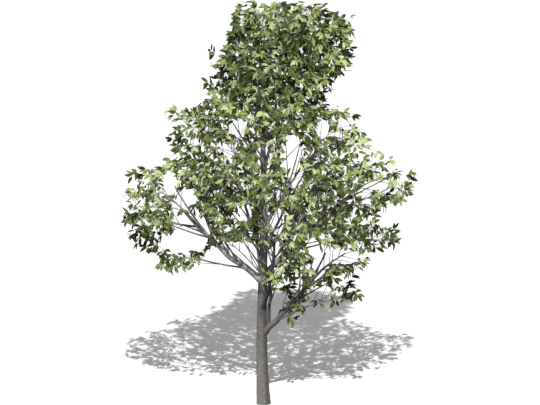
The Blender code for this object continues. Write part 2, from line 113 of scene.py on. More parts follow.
def trunk_radius(height):
    """Taper by a power of the height left, and the root flare that dies away by exp."""
    left = np.clip(1 - np.asarray(height, float) / TRUNK_TOP, 0, 1)
    taper = TRUNK_TIP_RADIUS + (TRUNK_RADIUS - TRUNK_TIP_RADIUS) * left ** TRUNK_TAPER
    return taper + FLARE * np.exp(-np.asarray(height, float) / FLARE_HEIGHT)


def lattice_noise(across, along, cells, seed):
    """Seeded values between -1 and 1 at whole numbers of across and along, blended between
    them by a smooth step; across repeats after so many cells."""
    rng = np.random.default_rng(seed)
    values = rng.uniform(-1, 1, (int(np.max(along)) + 2, cells))
    column = np.floor(across).astype(int)
    row = np.floor(along).astype(int)
    aside = across - column
    above = along - row
    aside = aside * aside * (3 - 2 * aside)
    above = above * above * (3 - 2 * above)
    left = column % cells
    right = (column + 1) % cells
    low = values[row, left] * (1 - aside) + values[row, right] * aside
    high = values[row + 1, left] * (1 - aside) + values[row + 1, right] * aside
    return low * (1 - above) + high * above


def bark_noise(kind, turn, along, seed, shift=0):
    """Lattice noise with the cells of this kind, moved round the limb by so many of them."""
    cells, rows = BARK_CELLS[kind]
    return lattice_noise((turn * cells + shift) % cells, along * rows, cells, seed)


def bark_relief(turn, along, seed):
    """Height of the bark at turn (0 to 1 round the limb) and metres along it: ridges where a
    noise drawn out along the limb nears zero, warts where a finer one peaks, and grain."""
    drift = RIDGE_DRIFT * bark_noise("drift", turn, along, seed)
    ridge = 1 - 2 * np.abs(bark_noise("ridge", turn, along, seed + 1, drift))
    wart = np.clip(bark_noise("wart", turn, along, seed + 2) - WART_FROM, 0, 1) / (1 - WART_FROM)
    grain = bark_noise("grain", turn, along, seed + 3)
    return RIDGE_DEPTH * ridge + WART_HEIGHT * wart ** 2 + GRAIN_DEPTH * grain


def tube_faces(rings, sides):
    """Triangles of a closed tube: two for each cell between rings, and a fan at each end
    round the two middle points, which come last."""
    ring, side = np.meshgrid(np.arange(rings - 1), np.arange(sides), indexing="ij")
    low = (ring * sides + side).ravel()
    low_next = (ring * sides + (side + 1) % sides).ravel()
    wall = np.concatenate([
        np.stack([low, low_next, low_next + sides], axis=1),
        np.stack([low, low_next + sides, low + sides], axis=1),
    ])
    rim = np.arange(sides)
    rim_next = (rim + 1) % sides
    middle = np.full(sides, rings * sides)
    top = (rings - 1) * sides
    ends = np.concatenate([
        np.stack([middle, rim_next, rim], axis=1),
        np.stack([middle + 1, top + rim, top + rim_next], axis=1),
    ])
    return np.concatenate([wall, ends])


def add_object(name, data):
    """New object with this data, at the origin of the scene."""
    thing = bpy.data.objects.new(name, data)
    bpy.context.scene.collection.objects.link(thing)
    return thing


def make_piece(name, points, faces, materials, slots=None, **fields):
    """Object at the origin from arrays of points and triangles; slots gives each face its
    material, and each further array is stored on the points as a vector under its name."""
    mesh = bpy.data.meshes.new(name)
    mesh.from_pydata(np.asarray(points, np.float32), [], np.asarray(faces, np.int32))
    for material in materials:
        mesh.materials.append(material)
    if slots is not None:
        mesh.polygons.foreach_set("material_index", np.asarray(slots, np.int32))
    mesh.shade_smooth()
    for field, values in fields.items():
        layer = mesh.attributes.new(field, "FLOAT_VECTOR", "POINT")
        layer.data.foreach_set("vector", np.asarray(values, np.float32).ravel())
    mesh.validate()
    piece = add_object(name, mesh)
    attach(piece, "root")
    return piece


def feed(node, values):
    """Fill inputs of a node by name or number: a socket is linked to one, a value set in it."""
    for key, value in values.items():
        if isinstance(value, bpy.types.NodeSocket):
            node.id_data.links.new(value, node.inputs[key])
        else:
            node.inputs[key].default_value = value


def add_node(tree, kind, values=None, **settings):
    """New node with its settings, its inputs filled from values."""
    node = tree.nodes.new(kind)
    for key, value in settings.items():
        setattr(node, key, value)
    feed(node, values or {})
    return node


def noise_node(tree, place, scale, detail, roughness=0.5):
    """Output of a noise texture at a place, its scale a number or a socket."""
    values = {"Vector": place, "Scale": scale, "Detail": detail, "Roughness": roughness}
    return add_node(tree, "ShaderNodeTexNoise", values).outputs["Fac"]


def math_node(tree, operation, first, second, clamped=False):
    """Output of a math node on two sockets or values."""
    settings = {"operation": operation, "use_clamp": clamped}
    return add_node(tree, "ShaderNodeMath", {0: first, 1: second}, **settings).outputs[0]


def range_node(tree, value, given, wanted, **settings):
    """Output of a node that maps a value from the given range to the wanted one."""
    inputs = dict(enumerate((value, *given, *wanted)))
    return add_node(tree, "ShaderNodeMapRange", inputs, **settings).outputs["Result"]


def new_material(name):
    """New material with nodes, and its Principled BSDF."""
    material = bpy.data.materials.new(name)
    material.use_nodes = True
    return material, material.node_tree.nodes["Principled BSDF"]


def bark_group():
    """Bark as a node group: fissures from a noise drawn out along the limb, mottling from a
    broad one and grain from a fine one give the colour, the roughness and the height."""
    group = bpy.data.node_groups.new("bark_effect", "ShaderNodeTree")
    for way, kind, names in (
        ("INPUT", "Vector", ("Place",)),
        ("INPUT", "Color", ("Light", "Dark")),
        ("INPUT", "Float", ("Fineness", "Mottling")),
        ("OUTPUT", "Color", ("Colour",)),
        ("OUTPUT", "Float", ("Roughness", "Height")),
    ):
        for name in names:
            group.interface.new_socket(name, in_out=way, socket_type="NodeSocket" + kind)
    given = add_node(group, "NodeGroupInput").outputs
    place = given["Place"]
    drawn = add_node(group, "ShaderNodeMapping", {
        "Vector": place,
        "Scale": (1.0, 1.0, FISSURE_STRETCH),
    })
    drawn = drawn.outputs["Vector"]
    fissure = noise_node(group, drawn, given["Fineness"], detail=4.0, roughness=0.62)
    broad = noise_node(group, place, scale=9.0, detail=3.0)
    grain = noise_node(group, place, scale=260.0, detail=2.0)
    split = range_node(group, fissure, FISSURE_EDGES, (0.0, 1.0), interpolation_type="SMOOTHSTEP")
    patch = math_node(group, "ADD", broad, -0.5)
    patched = math_node(group, "MULTIPLY", patch, given["Mottling"])
    shade = math_node(group, "ADD", split, patched, clamped=True)
    mixed = {"Factor": shade, "A": given["Dark"], "B": given["Light"]}
    colour = add_node(group, "ShaderNodeMix", mixed, data_type="RGBA")
    grained = math_node(group, "MULTIPLY", grain, GRAIN_STRENGTH)
    add_node(group, "NodeGroupOutput", {
        "Colour": colour.outputs["Result"],
        "Roughness": range_node(group, shade, (0.0, 1.0), BARK_ROUGHNESS),
        "Height": math_node(group, "ADD", split, grained),
    })
    return group


def bark_material(name, light, dark, fineness, mottling, depth, foot=1.0, crown=1.0):
    """Matt bark that reads the place stored on the limb's points. Its brightness is multiplied
    by foot near the ground and by crown past the lowest boughs: painted light at both, which
    leaves painted shade on the stretch between."""
    material, skin = new_material(name)
    tree = material.node_tree
    place = add_node(tree, "ShaderNodeAttribute", attribute_name="bark_place").outputs["Vector"]
    bark = add_node(tree, "ShaderNodeGroup", {
        "Place": place,
        "Light": (*light, 1.0),
        "Dark": (*dark, 1.0),
        "Fineness": fineness,
        "Mottling": mottling,
    }, node_tree=BARK_EFFECT)
    along = add_node(tree, "ShaderNodeSeparateXYZ", {"Vector": place}).outputs["Z"]
    low = range_node(tree, along, FOOT_PAINTED_LIGHT, (foot, 1.0))
    high = range_node(tree, along, CROWN_PAINTED_LIGHT, (1.0, crown))
    brightness = math_node(tree, "MULTIPLY", low, high)
    tint = {"Value": brightness, "Color": bark.outputs["Colour"]}
    tinted = add_node(tree, "ShaderNodeHueSaturation", tint)
    bump = {"Strength": 0.6, "Distance": depth, "Height": bark.outputs["Height"]}
    feed(skin, {
        "Base Color": tinted.outputs["Color"],
        "Roughness": bark.outputs["Roughness"],
        "Specular IOR Level": BARK_SHINE,
        "Normal": add_node(tree, "ShaderNodeBump", bump).outputs["Normal"],
    })
    return material


BARK_EFFECT = bark_group()
# Painted light on the trunk: 1.3 times as bright at the foot and 2.6 times past the lowest boughs
trunk_bark = bark_material(
    "trunk_bark",
    BARK_LIGHT,
    BARK_DARK,
    fineness=95.0,
    mottling=0.5,
    depth=0.0015,
    foot=1.3,
    crown=2.6,
)

trunk_height = np.linspace(0, 1, TRUNK_RINGS) ** RING_CROWDING * TRUNK_TOP
trunk_turn = np.arange(TRUNK_SIDES) / TRUNK_SIDES
trunk_round = np.stack([
    np.cos(2 * np.pi * trunk_turn),
    np.sin(2 * np.pi * trunk_turn),
    np.zeros(TRUNK_SIDES),
], axis=1)
flare_lobes = np.cos(2 * np.pi * FLARE_LOBES * trunk_turn + FLARE_LOBE_PHASE)
flare_lobes = FLARE * FLARE_LOBE_DEPTH * np.exp(-trunk_height / FLARE_HEIGHT)[:, None] * flare_lobes
relief = bark_relief(trunk_turn[None, :], trunk_height[:, None], TRUNK_SEED)
relief *= np.clip(trunk_radius(trunk_height) / TRUNK_RADIUS, TRUNK_RELIEF_LEAST, 1)[:, None]
trunk_reach = trunk_radius(trunk_height)[:, None] + flare_lobes + relief
trunk_rings = trunk_axis(trunk_height)[:, None] + trunk_round * trunk_reach[..., None]
trunk_ends = trunk_axis(trunk_height[[0, -1]])
trunk_place = trunk_round * trunk_radius(trunk_height)[:, None, None]
trunk_place[..., 2] = trunk_height[:, None]
trunk = make_piece(
    "trunk_bark_relief",
    np.concatenate([trunk_rings.reshape(-1, 3), trunk_ends]),
    tube_faces(TRUNK_RINGS, TRUNK_SIDES),
    [trunk_bark],
    bark_place=np.concatenate([trunk_place.reshape(-1, 3), trunk_ends]),
)
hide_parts("trunk")


# Main boughs
# The real boughs leave the trunk at a wide angle and sweep up. Each is one tapering limb of wood,
# grown out of the one that carries it, with a collar at its foot and smoother bark than the
# trunk's. The four lowest ones on the right and in front get darker bark, which is painted shade
# of the crown.

# Each bough: the limb that carries it, the height on the trunk or the share of that limb where it
# leaves, heading and rise from foot to tip, length, thickness at foot and tip, the size of its
# mass of foliage, and how a fork near its tip turns and lifts, if it has one
BOUGHS = {
    "low_right": ("trunk", 0.96, (-7, -10), (45, 52), 0.96, (0.078, 0.050), 0.56, None),
    "low_right_side": ("low_right", 0.32, (-20, -14), (34, 24), 0.52, (0.028, 0.019), 0.54, None),
    "riser": ("low_right", 0.17, (-50, -20), (86, 84), 1.05, (0.042, 0.028), 0.40, None),
    "front": ("trunk", 1.28, (-73, -84), (42, 62), 1.20, (0.060, 0.036), 0.52, (52, -12)),
    "low_left": ("trunk", 1.63, (175, 177), (32, 50), 1.22, (0.078, 0.040), 0.52, (24, -40)),
    "low_left_side": ("low_left", 0.26, (200, 192), (12, 16), 0.56, (0.026, 0.017), 0.46, None),
    "back_low": ("trunk", 1.42, (97, 92), (38, 52), 1.20, (0.054, 0.020), 0.52, (-52, -12)),
    "right": ("trunk", 1.70, (18, 14), (44, 38), 1.40, (0.068, 0.032), 0.52, (-16, -22)),
    "right_low": ("right", 0.32, (-14, -22), (18, 16), 0.72, (0.026, 0.016), 0.52, None),
    "left_front": ("front", 0.50, (186, 172), (50, 46), 0.50, (0.028, 0.017), 0.44, None),
    "left_back": ("trunk", 1.91, (141, 144), (56, 40), 0.72, (0.028, 0.016), 0.52, None),
    "right_back": ("trunk", 2.02, (58, 50), (40, 48), 1.05, (0.042, 0.018), 0.52, None),
    "right_front": ("trunk", 1.98, (-56, -44), (38, 46), 1.00, (0.042, 0.018), 0.52, None),
    "front_left": ("trunk", 2.06, (-135, -123), (56, 72), 1.15, (0.050, 0.019), 0.52, (-56, -34)),
    "upper_right": ("trunk", 2.35, (-13, -8), (61, 58), 1.08, (0.048, 0.019), 0.52, (34, -34)),
    "upper_right_low": ("upper_right", 0.36, (-46, -30), (21, 38), 0.42, (0.024, 0.016), 0.52, None),
    "left_upper": ("trunk", 2.50, (186, 178), (46, 58), 1.00, (0.038, 0.018), 0.52, None),
    "upper_left": ("trunk", 2.62, (146, 143), (54, 52), 0.66, (0.034, 0.017), 0.52, None),
    "back_high": ("trunk", 2.75, (70, 62), (46, 60), 0.80, (0.036, 0.017), 0.52, None),
    "front_high": ("trunk", 2.88, (-86, -72), (46, 62), 0.76, (0.036, 0.017), 0.52, None),
    "left_high": ("trunk", 3.15, (176, 184), (44, 62), 0.62, (0.032, 0.016), 0.52, None),
    "right_high": ("trunk", 3.42, (-4, -2), (42, 54), 0.78, (0.030, 0.016), 0.52, None),
}
BOUGH_STEPS = 6
BOUGH_RINGS = 46
BOUGH_SIDES = 16
BOUGH_TAPER = 0.9
BOUGH_WANDER = 0.15
WANDER_WAVES = ((2.3, 1.0), (4.1, 0.5))
WANDER_FULLNESS = 0.7
WANDER_PHASE_MOST = 6
COLLAR = 0.45
COLLAR_LENGTH = 0.01
COLLAR_PER_RADIUS = 1.1
SLOPE_MOST = 0.95
TRUNK_STEPS = 60
BOUGH_RELIEF_LEAST = 0.1
BOUGH_RELIEF_SEED = 40
BOUGH_WANDER_SEED = 80
BARK_SHIFT = 1.7
BOUGH_LIGHT = (0.170, 0.162, 0.160)
BOUGH_DARK = (0.092, 0.087, 0.085)
# Boughs whose bark is painted darker as the crown's painted shade, and that bark's light and dark
PAINTED_SHADE_BOUGHS = ("low_right", "low_right_side", "riser", "front")
PAINTED_SHADE_LIGHT = (0.060, 0.057, 0.056)
PAINTED_SHADE_DARK = (0.034, 0.032, 0.031)


def towards(heading, rise):
    """Unit vector: heading turns it from +X towards +Y, rise lifts it, both in degrees."""
    heading = np.radians(heading)
    rise = np.radians(rise)
    flat = np.cos(rise)
    return np.stack([flat * np.cos(heading), flat * np.sin(heading), np.sin(rise)], axis=-1)


def part_way(ends, share):
    """Value at a share of the way from the first of two ends to the last."""
    return ends[0] + (ends[1] - ends[0]) * share


def bough_path(start, heading, rise, length, steps):
    """Path whose heading and rise change evenly from foot to tip."""
    share = (np.arange(steps) + 0.5) / steps
    step = towards(part_way(heading, share), part_way(rise, share))
    return np.vstack([start, start + np.cumsum(step * length / steps, axis=0)])


def points_along(paths, shares):
    """Points and tangents at shares of the length of one path or of each of many."""
    place = np.asarray(shares) * (paths.shape[-2] - 1)
    low = np.minimum(place.astype(int), paths.shape[-2] - 2)
    step = paths[..., low + 1, :] - paths[..., low, :]
    return paths[..., low, :] + step * (place - low)[..., None], unit(step)


def radius_on(limb, share):
    """Radius of a limb at a share of its length."""
    return np.interp(share, np.linspace(0, 1, len(limb["radii"])), limb["radii"])


def tapered(thick, steps):
    """Radii of a bough, from half its thickness at the foot to half that at its tip."""
    foot, tip = np.array(thick) / 2
    return tip + (foot - tip) * (1 - np.linspace(0, 1, steps + 1)) ** BOUGH_TAPER


def share_on(limb, at):
    """Share of a limb's length that at stands for: on the trunk it is a height."""
    return at / TRUNK_TOP if limb == "trunk" else at


def rooted(limb, share, direction):
    """Point on the limb's axis from which the direction comes out at that share of the limb."""
    point, tangent = points_along(limb["path"], share)
    slope = np.clip(np.dot(direction, tangent), -SLOPE_MOST, SLOPE_MOST)
    return point - tangent * radius_on(limb, share) * slope / np.sqrt(1 - slope * slope)


def tubes(paths, radii, sides):
    """Points, triangles and bark places of one closed tube for each path: at each point of a
    path a ring of equal angles round its tangent. The radii may differ round a ring."""
    tangent = unit(np.gradient(paths, axis=1))
    least = np.argmin(np.abs(tangent).max(axis=1), axis=1)
    across = unit(np.cross(tangent, np.eye(3)[least][:, None]))
    beside = np.cross(tangent, across)
    angle = 2 * np.pi * np.arange(sides) / sides
    rim = across[:, :, None] * np.cos(angle)[:, None] + beside[:, :, None] * np.sin(angle)[:, None]
    if radii.ndim == 2:
        radii = radii[..., None]
    rings = paths[:, :, None] + rim * radii[..., None]
    points = np.concatenate([rings.reshape(len(paths), -1, 3), paths[:, [0, -1]]], axis=1)
    steps = np.linalg.norm(np.diff(paths, axis=1), axis=2)
    along = np.concatenate([np.zeros((len(paths), 1)), np.cumsum(steps, axis=1)], axis=1)
    along = along + BARK_SHIFT * np.arange(len(paths))[:, None]
    place = (np.cos(angle) * radii, np.sin(angle) * radii, along[..., None])
    place = np.stack(np.broadcast_arrays(*place), axis=-1)
    place = place.reshape(len(paths), -1, 3)
    place = np.concatenate([place, place[:, [0, -1]]], axis=1)
    faces = tube_faces(paths.shape[1], sides)
    faces = faces + (np.arange(len(paths)) * points.shape[1])[:, None, None]
    return points.reshape(-1, 3), faces.reshape(-1, 3), place.reshape(-1, 3)


def wandering(path, radii, seed):
    """The path moved aside by two slow waves, a share of its radius wide, still at both ends."""
    rng = np.random.default_rng(seed)
    share = np.linspace(0, 1, len(path))[:, None]
    swing = rng.normal(0, 1, (2, 3)) * radii[:, None, None].mean() * BOUGH_WANDER
    waves = 0
    for (turns, strength), side in zip(WANDER_WAVES, swing):
        phase = rng.uniform(0, WANDER_PHASE_MOST)
        waves = waves + np.sin(2 * np.pi * share * turns + phase) * side * strength
    return path + waves * np.sin(np.pi * share) ** WANDER_FULLNESS


limbs = {}
trunk_steps = np.linspace(0, TRUNK_TOP, TRUNK_STEPS + 1)
limbs["trunk"] = {"path": trunk_axis(trunk_steps), "radii": trunk_radius(trunk_steps)}
bough_paths = []
bough_radii = []
bough_turn = np.arange(BOUGH_SIDES) / BOUGH_SIDES
for order, (name, (on, at, heading, rise, length, thick, *_)) in enumerate(BOUGHS.items()):
    share = share_on(on, at)
    start = rooted(limbs[on], share, towards(heading[0], rise[0]))
    limbs[name] = {
        "path": bough_path(start, heading, rise, length, BOUGH_STEPS),
        "radii": tapered(thick, BOUGH_STEPS),
    }
    fine = bough_path(start, heading, rise, length, BOUGH_RINGS - 1)
    radii = tapered(thick, BOUGH_RINGS - 1)
    climb = np.linspace(0, length, BOUGH_RINGS)
    outside = np.clip(climb - radius_on(limbs[on], share), 0, None)
    collar = COLLAR_PER_RADIUS * radii[0] + COLLAR_LENGTH
    radii = radii * (1 + COLLAR * np.exp(-outside / collar))
    relief = bark_relief(bough_turn[None, :], climb[:, None], BOUGH_RELIEF_SEED + order)
    bough_paths.append(wandering(fine, radii, BOUGH_WANDER_SEED + order))
    relief *= np.clip(radii / TRUNK_RADIUS, BOUGH_RELIEF_LEAST, 1)[:, None]
    bough_radii.append(radii[:, None] + relief)
bough_look = {"fineness": 130.0, "mottling": 0.5, "depth": 0.001}
bough_bark = bark_material("bough_bark", BOUGH_LIGHT, BOUGH_DARK, **bough_look)
# A darker copy of the bough bark for the boughs in painted shade
painted_shade_bark = bark_material("bough_bark_painted_shade", PAINTED_SHADE_LIGHT, PAINTED_SHADE_DARK, **bough_look)
points, faces, place = tubes(np.array(bough_paths), np.array(bough_radii), BOUGH_SIDES)
painted_shade_slots = np.repeat([name in PAINTED_SHADE_BOUGHS for name in BOUGHS], len(faces) // len(BOUGHS))
boughs = make_piece("boughs", points, faces, [bough_bark, painted_shade_bark], painted_shade_slots, bark_place=place)
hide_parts(*["bough_" + name for name in BOUGHS])


# Twigs
# Each mass of foliage is carried by one stem at a bough's tip or on the leader. Slim grey twigs
# leave the stems, and side branches the boughs, by the golden angle. The thinnest wood is shoots,
# each grown from the nearest wood out to the place of a spray of leaves.
LEADER_SHOOTS = 8
LEADER_HEIGHTS = (3.70, 4.54)
LEADER_RISE = (32, 40)
LEADER_STEM = 0.70
LEADER_TWIGS = 0.52
LEADER_STEM_LIFT = 14
LEADER_START_HEADING = -140
GOLDEN_ANGLE = 137.5
TIP_STEM = 0.10
TIP_RISE = (78, 84)
FORK_STEM = 1.6
FORK_PLACE = 0.88
FORK_STEM_LIFT = 12
FORK_COUNTER_TURN = 0.35
STEM_SINK = 0.004
STEM_BEND = 22
STEM_SHARE = 0.75
NEAR_TIP = 0.99
STEM_TIP = 0.5
STEM_RINGS = 3
# Reach of the crown: height as seen in the photo's view, and how far left and right it goes there
CROWN = (
    (1.06, 0.34, 0.54),
    (1.28, 0.28, 0.70),
    (1.40, -0.04, 1.26),
    (1.56, -0.10, 1.18),
    (1.68, -0.36, 1.26),
    (1.78, -1.34, 1.32),
    (1.98, -1.36, 1.44),
    (2.06, -1.38, 1.66),
    (2.15, -1.56, 1.80),
    (2.25, -1.72, 1.54),
    (2.36, -1.78, 1.42),
    (2.44, -1.82, 1.44),
    (2.53, -1.76, 1.54),
    (2.62, -1.70, 1.76),
    (2.81, -1.76, 1.94),
    (2.94, -1.62, 1.80),
    (3.08, -1.36, 1.42),
    (3.27, -1.12, 1.40),
    (3.58, -1.02, 1.29),
    (3.74, -1.08, 1.13),
    (3.82, -0.94, 0.90),
    (3.92, -0.74, 0.74),
    (4.05, -0.68, 0.82),
    (4.18, -0.58, 0.94),
    (4.30, -0.58, 1.06),
    (4.43, -0.62, 1.12),
    (4.56, -0.50, 1.12),
    (4.69, -0.42, 1.10),
    (4.82, -0.46, 1.16),
    (4.93, -0.43, 1.03),
    (5.04, -0.38, 0.90),
    (5.13, -0.34, 0.74),
    (5.20, -0.20, 0.50),
)
CROWN_POWER = 2.1
FAR_OUT = 9.0
TINY = 1e-9
SIGHT = 14
# Depth of the crown as a share of its width, and reach of its bare heart, by height
CROWN_DEPTH = ((1.6, 0.62), (2.3, 0.76), (2.9, 0.92))
BARE = ((1.10, 0.20), (1.75, 0.26), (2.30, 0.22), (2.80, 0.12), (3.20, 0.0))
# Openings where the photo shows sky: middle and height as seen, half width and half height
OPENINGS = (
    (-0.30, 1.90, 0.44, 0.19),
    (-1.00, 2.08, 0.30, 0.12),
    (-0.97, 2.46, 0.16, 0.32),
    (-1.17, 2.84, 0.09, 0.15),
    (-0.23, 2.47, 0.08, 0.10),
    (-0.43, 3.27, 0.10, 0.09),
    (-0.32, 3.56, 0.10, 0.10),
    (0.36, 3.24, 0.10, 0.24),
    (0.74, 3.54, 0.08, 0.13),
    (1.17, 3.28, 0.05, 0.05),
    (1.42, 2.83, 0.13, 0.06),
    (1.46, 3.04, 0.12, 0.05),
    (1.28, 2.74, 0.08, 0.08),
    (0.63, 2.02, 0.07, 0.12),
    (0.92, 1.91, 0.24, 0.10),
    (0.14, 1.37, 0.15, 0.07),
    (0.02, 1.80, 0.14, 0.12),
    (0.15, 1.95, 0.05, 0.18),
    (-0.57, 1.69, 0.34, 0.15),
    (0.01, 3.17, 0.08, 0.16),
    (0.40, 2.92, 0.09, 0.12),
    (0.18, 2.35, 0.08, 0.17),
    (0.98, 3.62, 0.05, 0.08),
    (-0.76, 2.27, 0.10, 0.14),
    (0.72, 1.78, 0.12, 0.08),
    (0.68, 1.42, 0.14, 0.09),
)
# Tufts that stand out in the photo: place left or right, depth and height as seen, half width,
# half height, number of shoots, and colour of their leaves, one of the greens below with their
# painted light and shade
TUFTS = (
    (0.06, -0.50, 1.64, 0.13, 0.06, 7, "fresh"),
    (0.36, -0.30, 1.80, 0.10, 0.14, 6, "fresh"),
    (0.45, -0.09, 1.28, 0.06, 0.05, 3, "deep"),
    (0.70, -0.10, 1.33, 0.08, 0.04, 3, "deep"),
    (1.06, -0.14, 1.45, 0.16, 0.07, 8, "dark"),
    (0.78, -0.08, 1.66, 0.14, 0.07, 4, "green"),
    (1.04, -0.08, 1.75, 0.14, 0.07, 5, "green"),
    (-1.40, -0.20, 2.02, 0.08, 0.04, 3, "deep"),
    (-1.58, 0.00, 2.16, 0.10, 0.08, 3, "dark"),
    (-1.64, 0.05, 2.44, 0.12, 0.05, 4, "deep"),
    (-0.87, -0.05, 2.56, 0.05, 0.04, 3, "deep"),
    (1.38, 0.05, 2.55, 0.15, 0.07, 5, "dark"),
    (1.40, 0.10, 2.69, 0.12, 0.05, 4, "bright"),
    (1.58, 0.05, 2.20, 0.08, 0.05, 4, "dark"),
    (1.66, 0.10, 2.66, 0.05, 0.03, 2, "fresh"),
    (1.80, 0.17, 2.92, 0.06, 0.06, 4, "deep"),
    (1.62, 0.17, 2.98, 0.08, 0.03, 3, "green"),
    (-1.52, 0.00, 2.96, 0.12, 0.10, 5, "deep"),
    (1.20, 0.00, 3.12, 0.14, 0.15, 8, "green"),
    (1.49, 0.08, 3.11, 0.13, 0.06, 5, "green"),
    (-1.06, -0.05, 3.44, 0.07, 0.13, 5, "deep"),
    (-1.12, 0.05, 3.76, 0.09, 0.06, 4, "fresh"),
    (1.02, 0.05, 4.90, 0.08, 0.10, 4, "fresh"),
    (0.92, 0.00, 4.96, 0.08, 0.04, 3, "dark"),
    (1.03, 0.00, 4.53, 0.07, 0.08, 4, "dark"),
    (0.33, -0.10, 5.06, 0.12, 0.05, 4, "dark"),
    (0.05, -0.22, 5.03, 0.13, 0.07, 5, "bright"),
    (-0.31, -0.25, 4.78, 0.10, 0.19, 9, "dark"),
    (-0.50, -0.15, 4.35, 0.13, 0.11, 6, "deep"),
    (0.61, -0.50, 4.22, 0.16, 0.17, 9, "fresh"),
    (-0.65, 0.00, 4.11, 0.05, 0.06, 3, "deep"),
    (-0.62, 0.00, 4.52, 0.04, 0.03, 2, "dark"),
)
TUFT_DEPTH = 0.05
# Thin branches that the photo shows: carrier, height or share there, heading and rise from foot
# to tip, length, and thickness at foot and tip
ARMS = (
    ("low_left", 0.70, (180, 182), (50, 62), 0.88, (0.034, 0.018)),
    ("low_left", 0.74, (188, 180), (16, 24), 0.52, (0.026, 0.013)),
    ("low_left", 0.66, (172, 176), (66, 76), 0.78, (0.028, 0.014)),
    ("low_left", 0.62, (196, 188), (40, 56), 0.84, (0.026, 0.012)),
    ("low_left", 0.46, (168, 172), (72, 84), 0.62, (0.022, 0.012)),
    ("trunk", 1.66, (222, 208), (38, 44), 0.72, (0.028, 0.014)),
    ("trunk", 1.84, (236, 226), (66, 74), 0.48, (0.026, 0.014)),
    ("low_right", 0.90, (4, 2), (54, 66), 0.56, (0.040, 0.020)),
    ("low_right", 0.86, (-20, -12), (66, 76), 0.50, (0.026, 0.014)),
    ("low_right", 0.84, (30, 24), (84, 86), 0.46, (0.022, 0.012)),
    ("low_right", 0.92, (-14, -10), (36, 42), 0.60, (0.036, 0.018)),
    ("right", 0.94, (12, 8), (30, 24), 0.78, (0.026, 0.012)),
    ("right", 0.40, (4, 2), (10, 14), 0.42, (0.022, 0.012)),
    ("upper_right", 0.92, (-6, -2), (36, 40), 0.60, (0.026, 0.013)),
    ("upper_right", 0.42, (0, 10), (82, 88), 0.44, (0.020, 0.010)),
    ("upper_right", 0.60, (10, 12), (72, 76), 0.60, (0.024, 0.012)),
    ("left_upper", 0.70, (184, 180), (34, 44), 0.56, (0.024, 0.012)),
)
ARM_STEPS = 6
BRANCH_STEPS = 6
BRANCH_PARTS = (1.0, 0.85, 0.7, 0.55, 0.4)
BRANCH_TURNS = (0, 70, -70, 150)
# A branch has fewer of its points than this in openings
OPENING_POINTS = 4
VARIED = (0.8, 1.2)
ASKEW = np.array([0.3, 0.2, 1.0])
UP = np.array([0.0, 0.0, 1.0])
SIDE_GAP = 0.13
SIDE_FIRST = 0.30
SIDE_FIRST_ON_TRUNK = 0.62
SIDE_WAY = {"leaving": 34, "lift": 0.2, "sag": 0.1}
SIDE_LENGTH = (0.72, 0.55)
SIDE_SHARE = 0.55
SIDE_RADIUS = (0.0060, 0.0170)
SIDE_TIP = 0.35
SIDE_SEED = 300
SIDE_SEED_ON_TRUNK = 340
TWIGS = 11
TWIG_FIRST = 0.15
TWIG_SPAN = 0.83
TWIG_WAY = {"leaving": 48, "lift": 0.18, "sag": 0.3}
TWIG_LENGTH = 1.10
TWIG_SHORTER = 0.45
TWIG_RADIUS = (0.0055, 0.0024)
TWIG_SEED = 200
# Room round each spray, by height
SPRAY_ROOM = (
    (1.5, 0.130),
    (2.0, 0.142),
    (2.6, 0.153),
    (2.95, 0.174),
    (3.2, 0.148),
    (3.45, 0.150),
    (3.65, 0.156),
    (3.85, 0.108),
    (4.2, 0.105),
)
SPRAY_TRIES = 160000
SPRAY_SEED = 16
SPRAY_INSIDE = 0.05
SPRAY_OFF_LIMB = 0.04
SPRAY_THINNER = 0.20
SPRAY_THINNER_FROM = 0.8
SPRAY_HOLLOW = 0.30
SHOOT_REACH = (0.20, 0.26, 0.32, 0.38)
SHOOT_START = 0.45
SHOOT_LIFT = 0.25
SHOOT_STEPS = 5
SHOOT_RADIUS = (0.0022, 0.0010)
# Where shoots may leave the wood that bears them: from this share on, at so many places
ON_TWIGS = (0.3, 12)
ON_STEMS = (0.3, 8)
ON_BOUGHS = (0.35, 14)
ON_ARMS = (0.5, 8)
PLACES_AT_ONCE = 60
ARM_SIDES = 8
BRANCH_SIDES = 6
STEM_SIDES = 7
TWIG_SIDES = 5
SHOOT_SIDES = 4
TWIG_LIGHT = (0.165, 0.156, 0.156)
TWIG_DARK = (0.090, 0.084, 0.080)


def turned(vector, axis, degrees):
    """Vector turned about a unit axis."""
    angle = np.radians(degrees)
    along = axis * np.dot(axis, vector)
    return along + np.cos(angle) * (vector - along) + np.sin(angle) * np.cross(axis, vector)


def seen_height(points):
    """Height at the trunk that shows behind or before each point in the photo's view."""
    return points[:, 2] + points[:, 1] * np.tan(np.radians(SIGHT))


def by_height(table, height):
    """Value at a height in a table whose rows are a height and its value."""
    return np.interp(height, *np.array(table).T)


def crown_share(points):
    """0 at the middle of the crown, 1 at its reach and far out above or below it: left and
    right as at the seen height, and a rounded square from above."""
    points = np.atleast_2d(points)
    height = seen_height(points)
    level, left, right = np.array(CROWN).T
    within = (height > level[0]) & (height < level[-1]) & (points[:, 2] > level[0])
    left = np.interp(height, level, left)
    right = np.interp(height, level, right)
    half = 0.5 * (right - left)
    aside = np.abs(points[:, 0] - 0.5 * (left + right)) / half
    deep = np.abs(points[:, 1]) / (half * by_height(CROWN_DEPTH, height))
    share = (aside ** CROWN_POWER + deep ** CROWN_POWER) ** (1 / CROWN_POWER)
    return np.where(within, share, FAR_OUT)


def in_crown(points):
    """True for each point within the crown's reach."""
    return crown_share(points) < 1


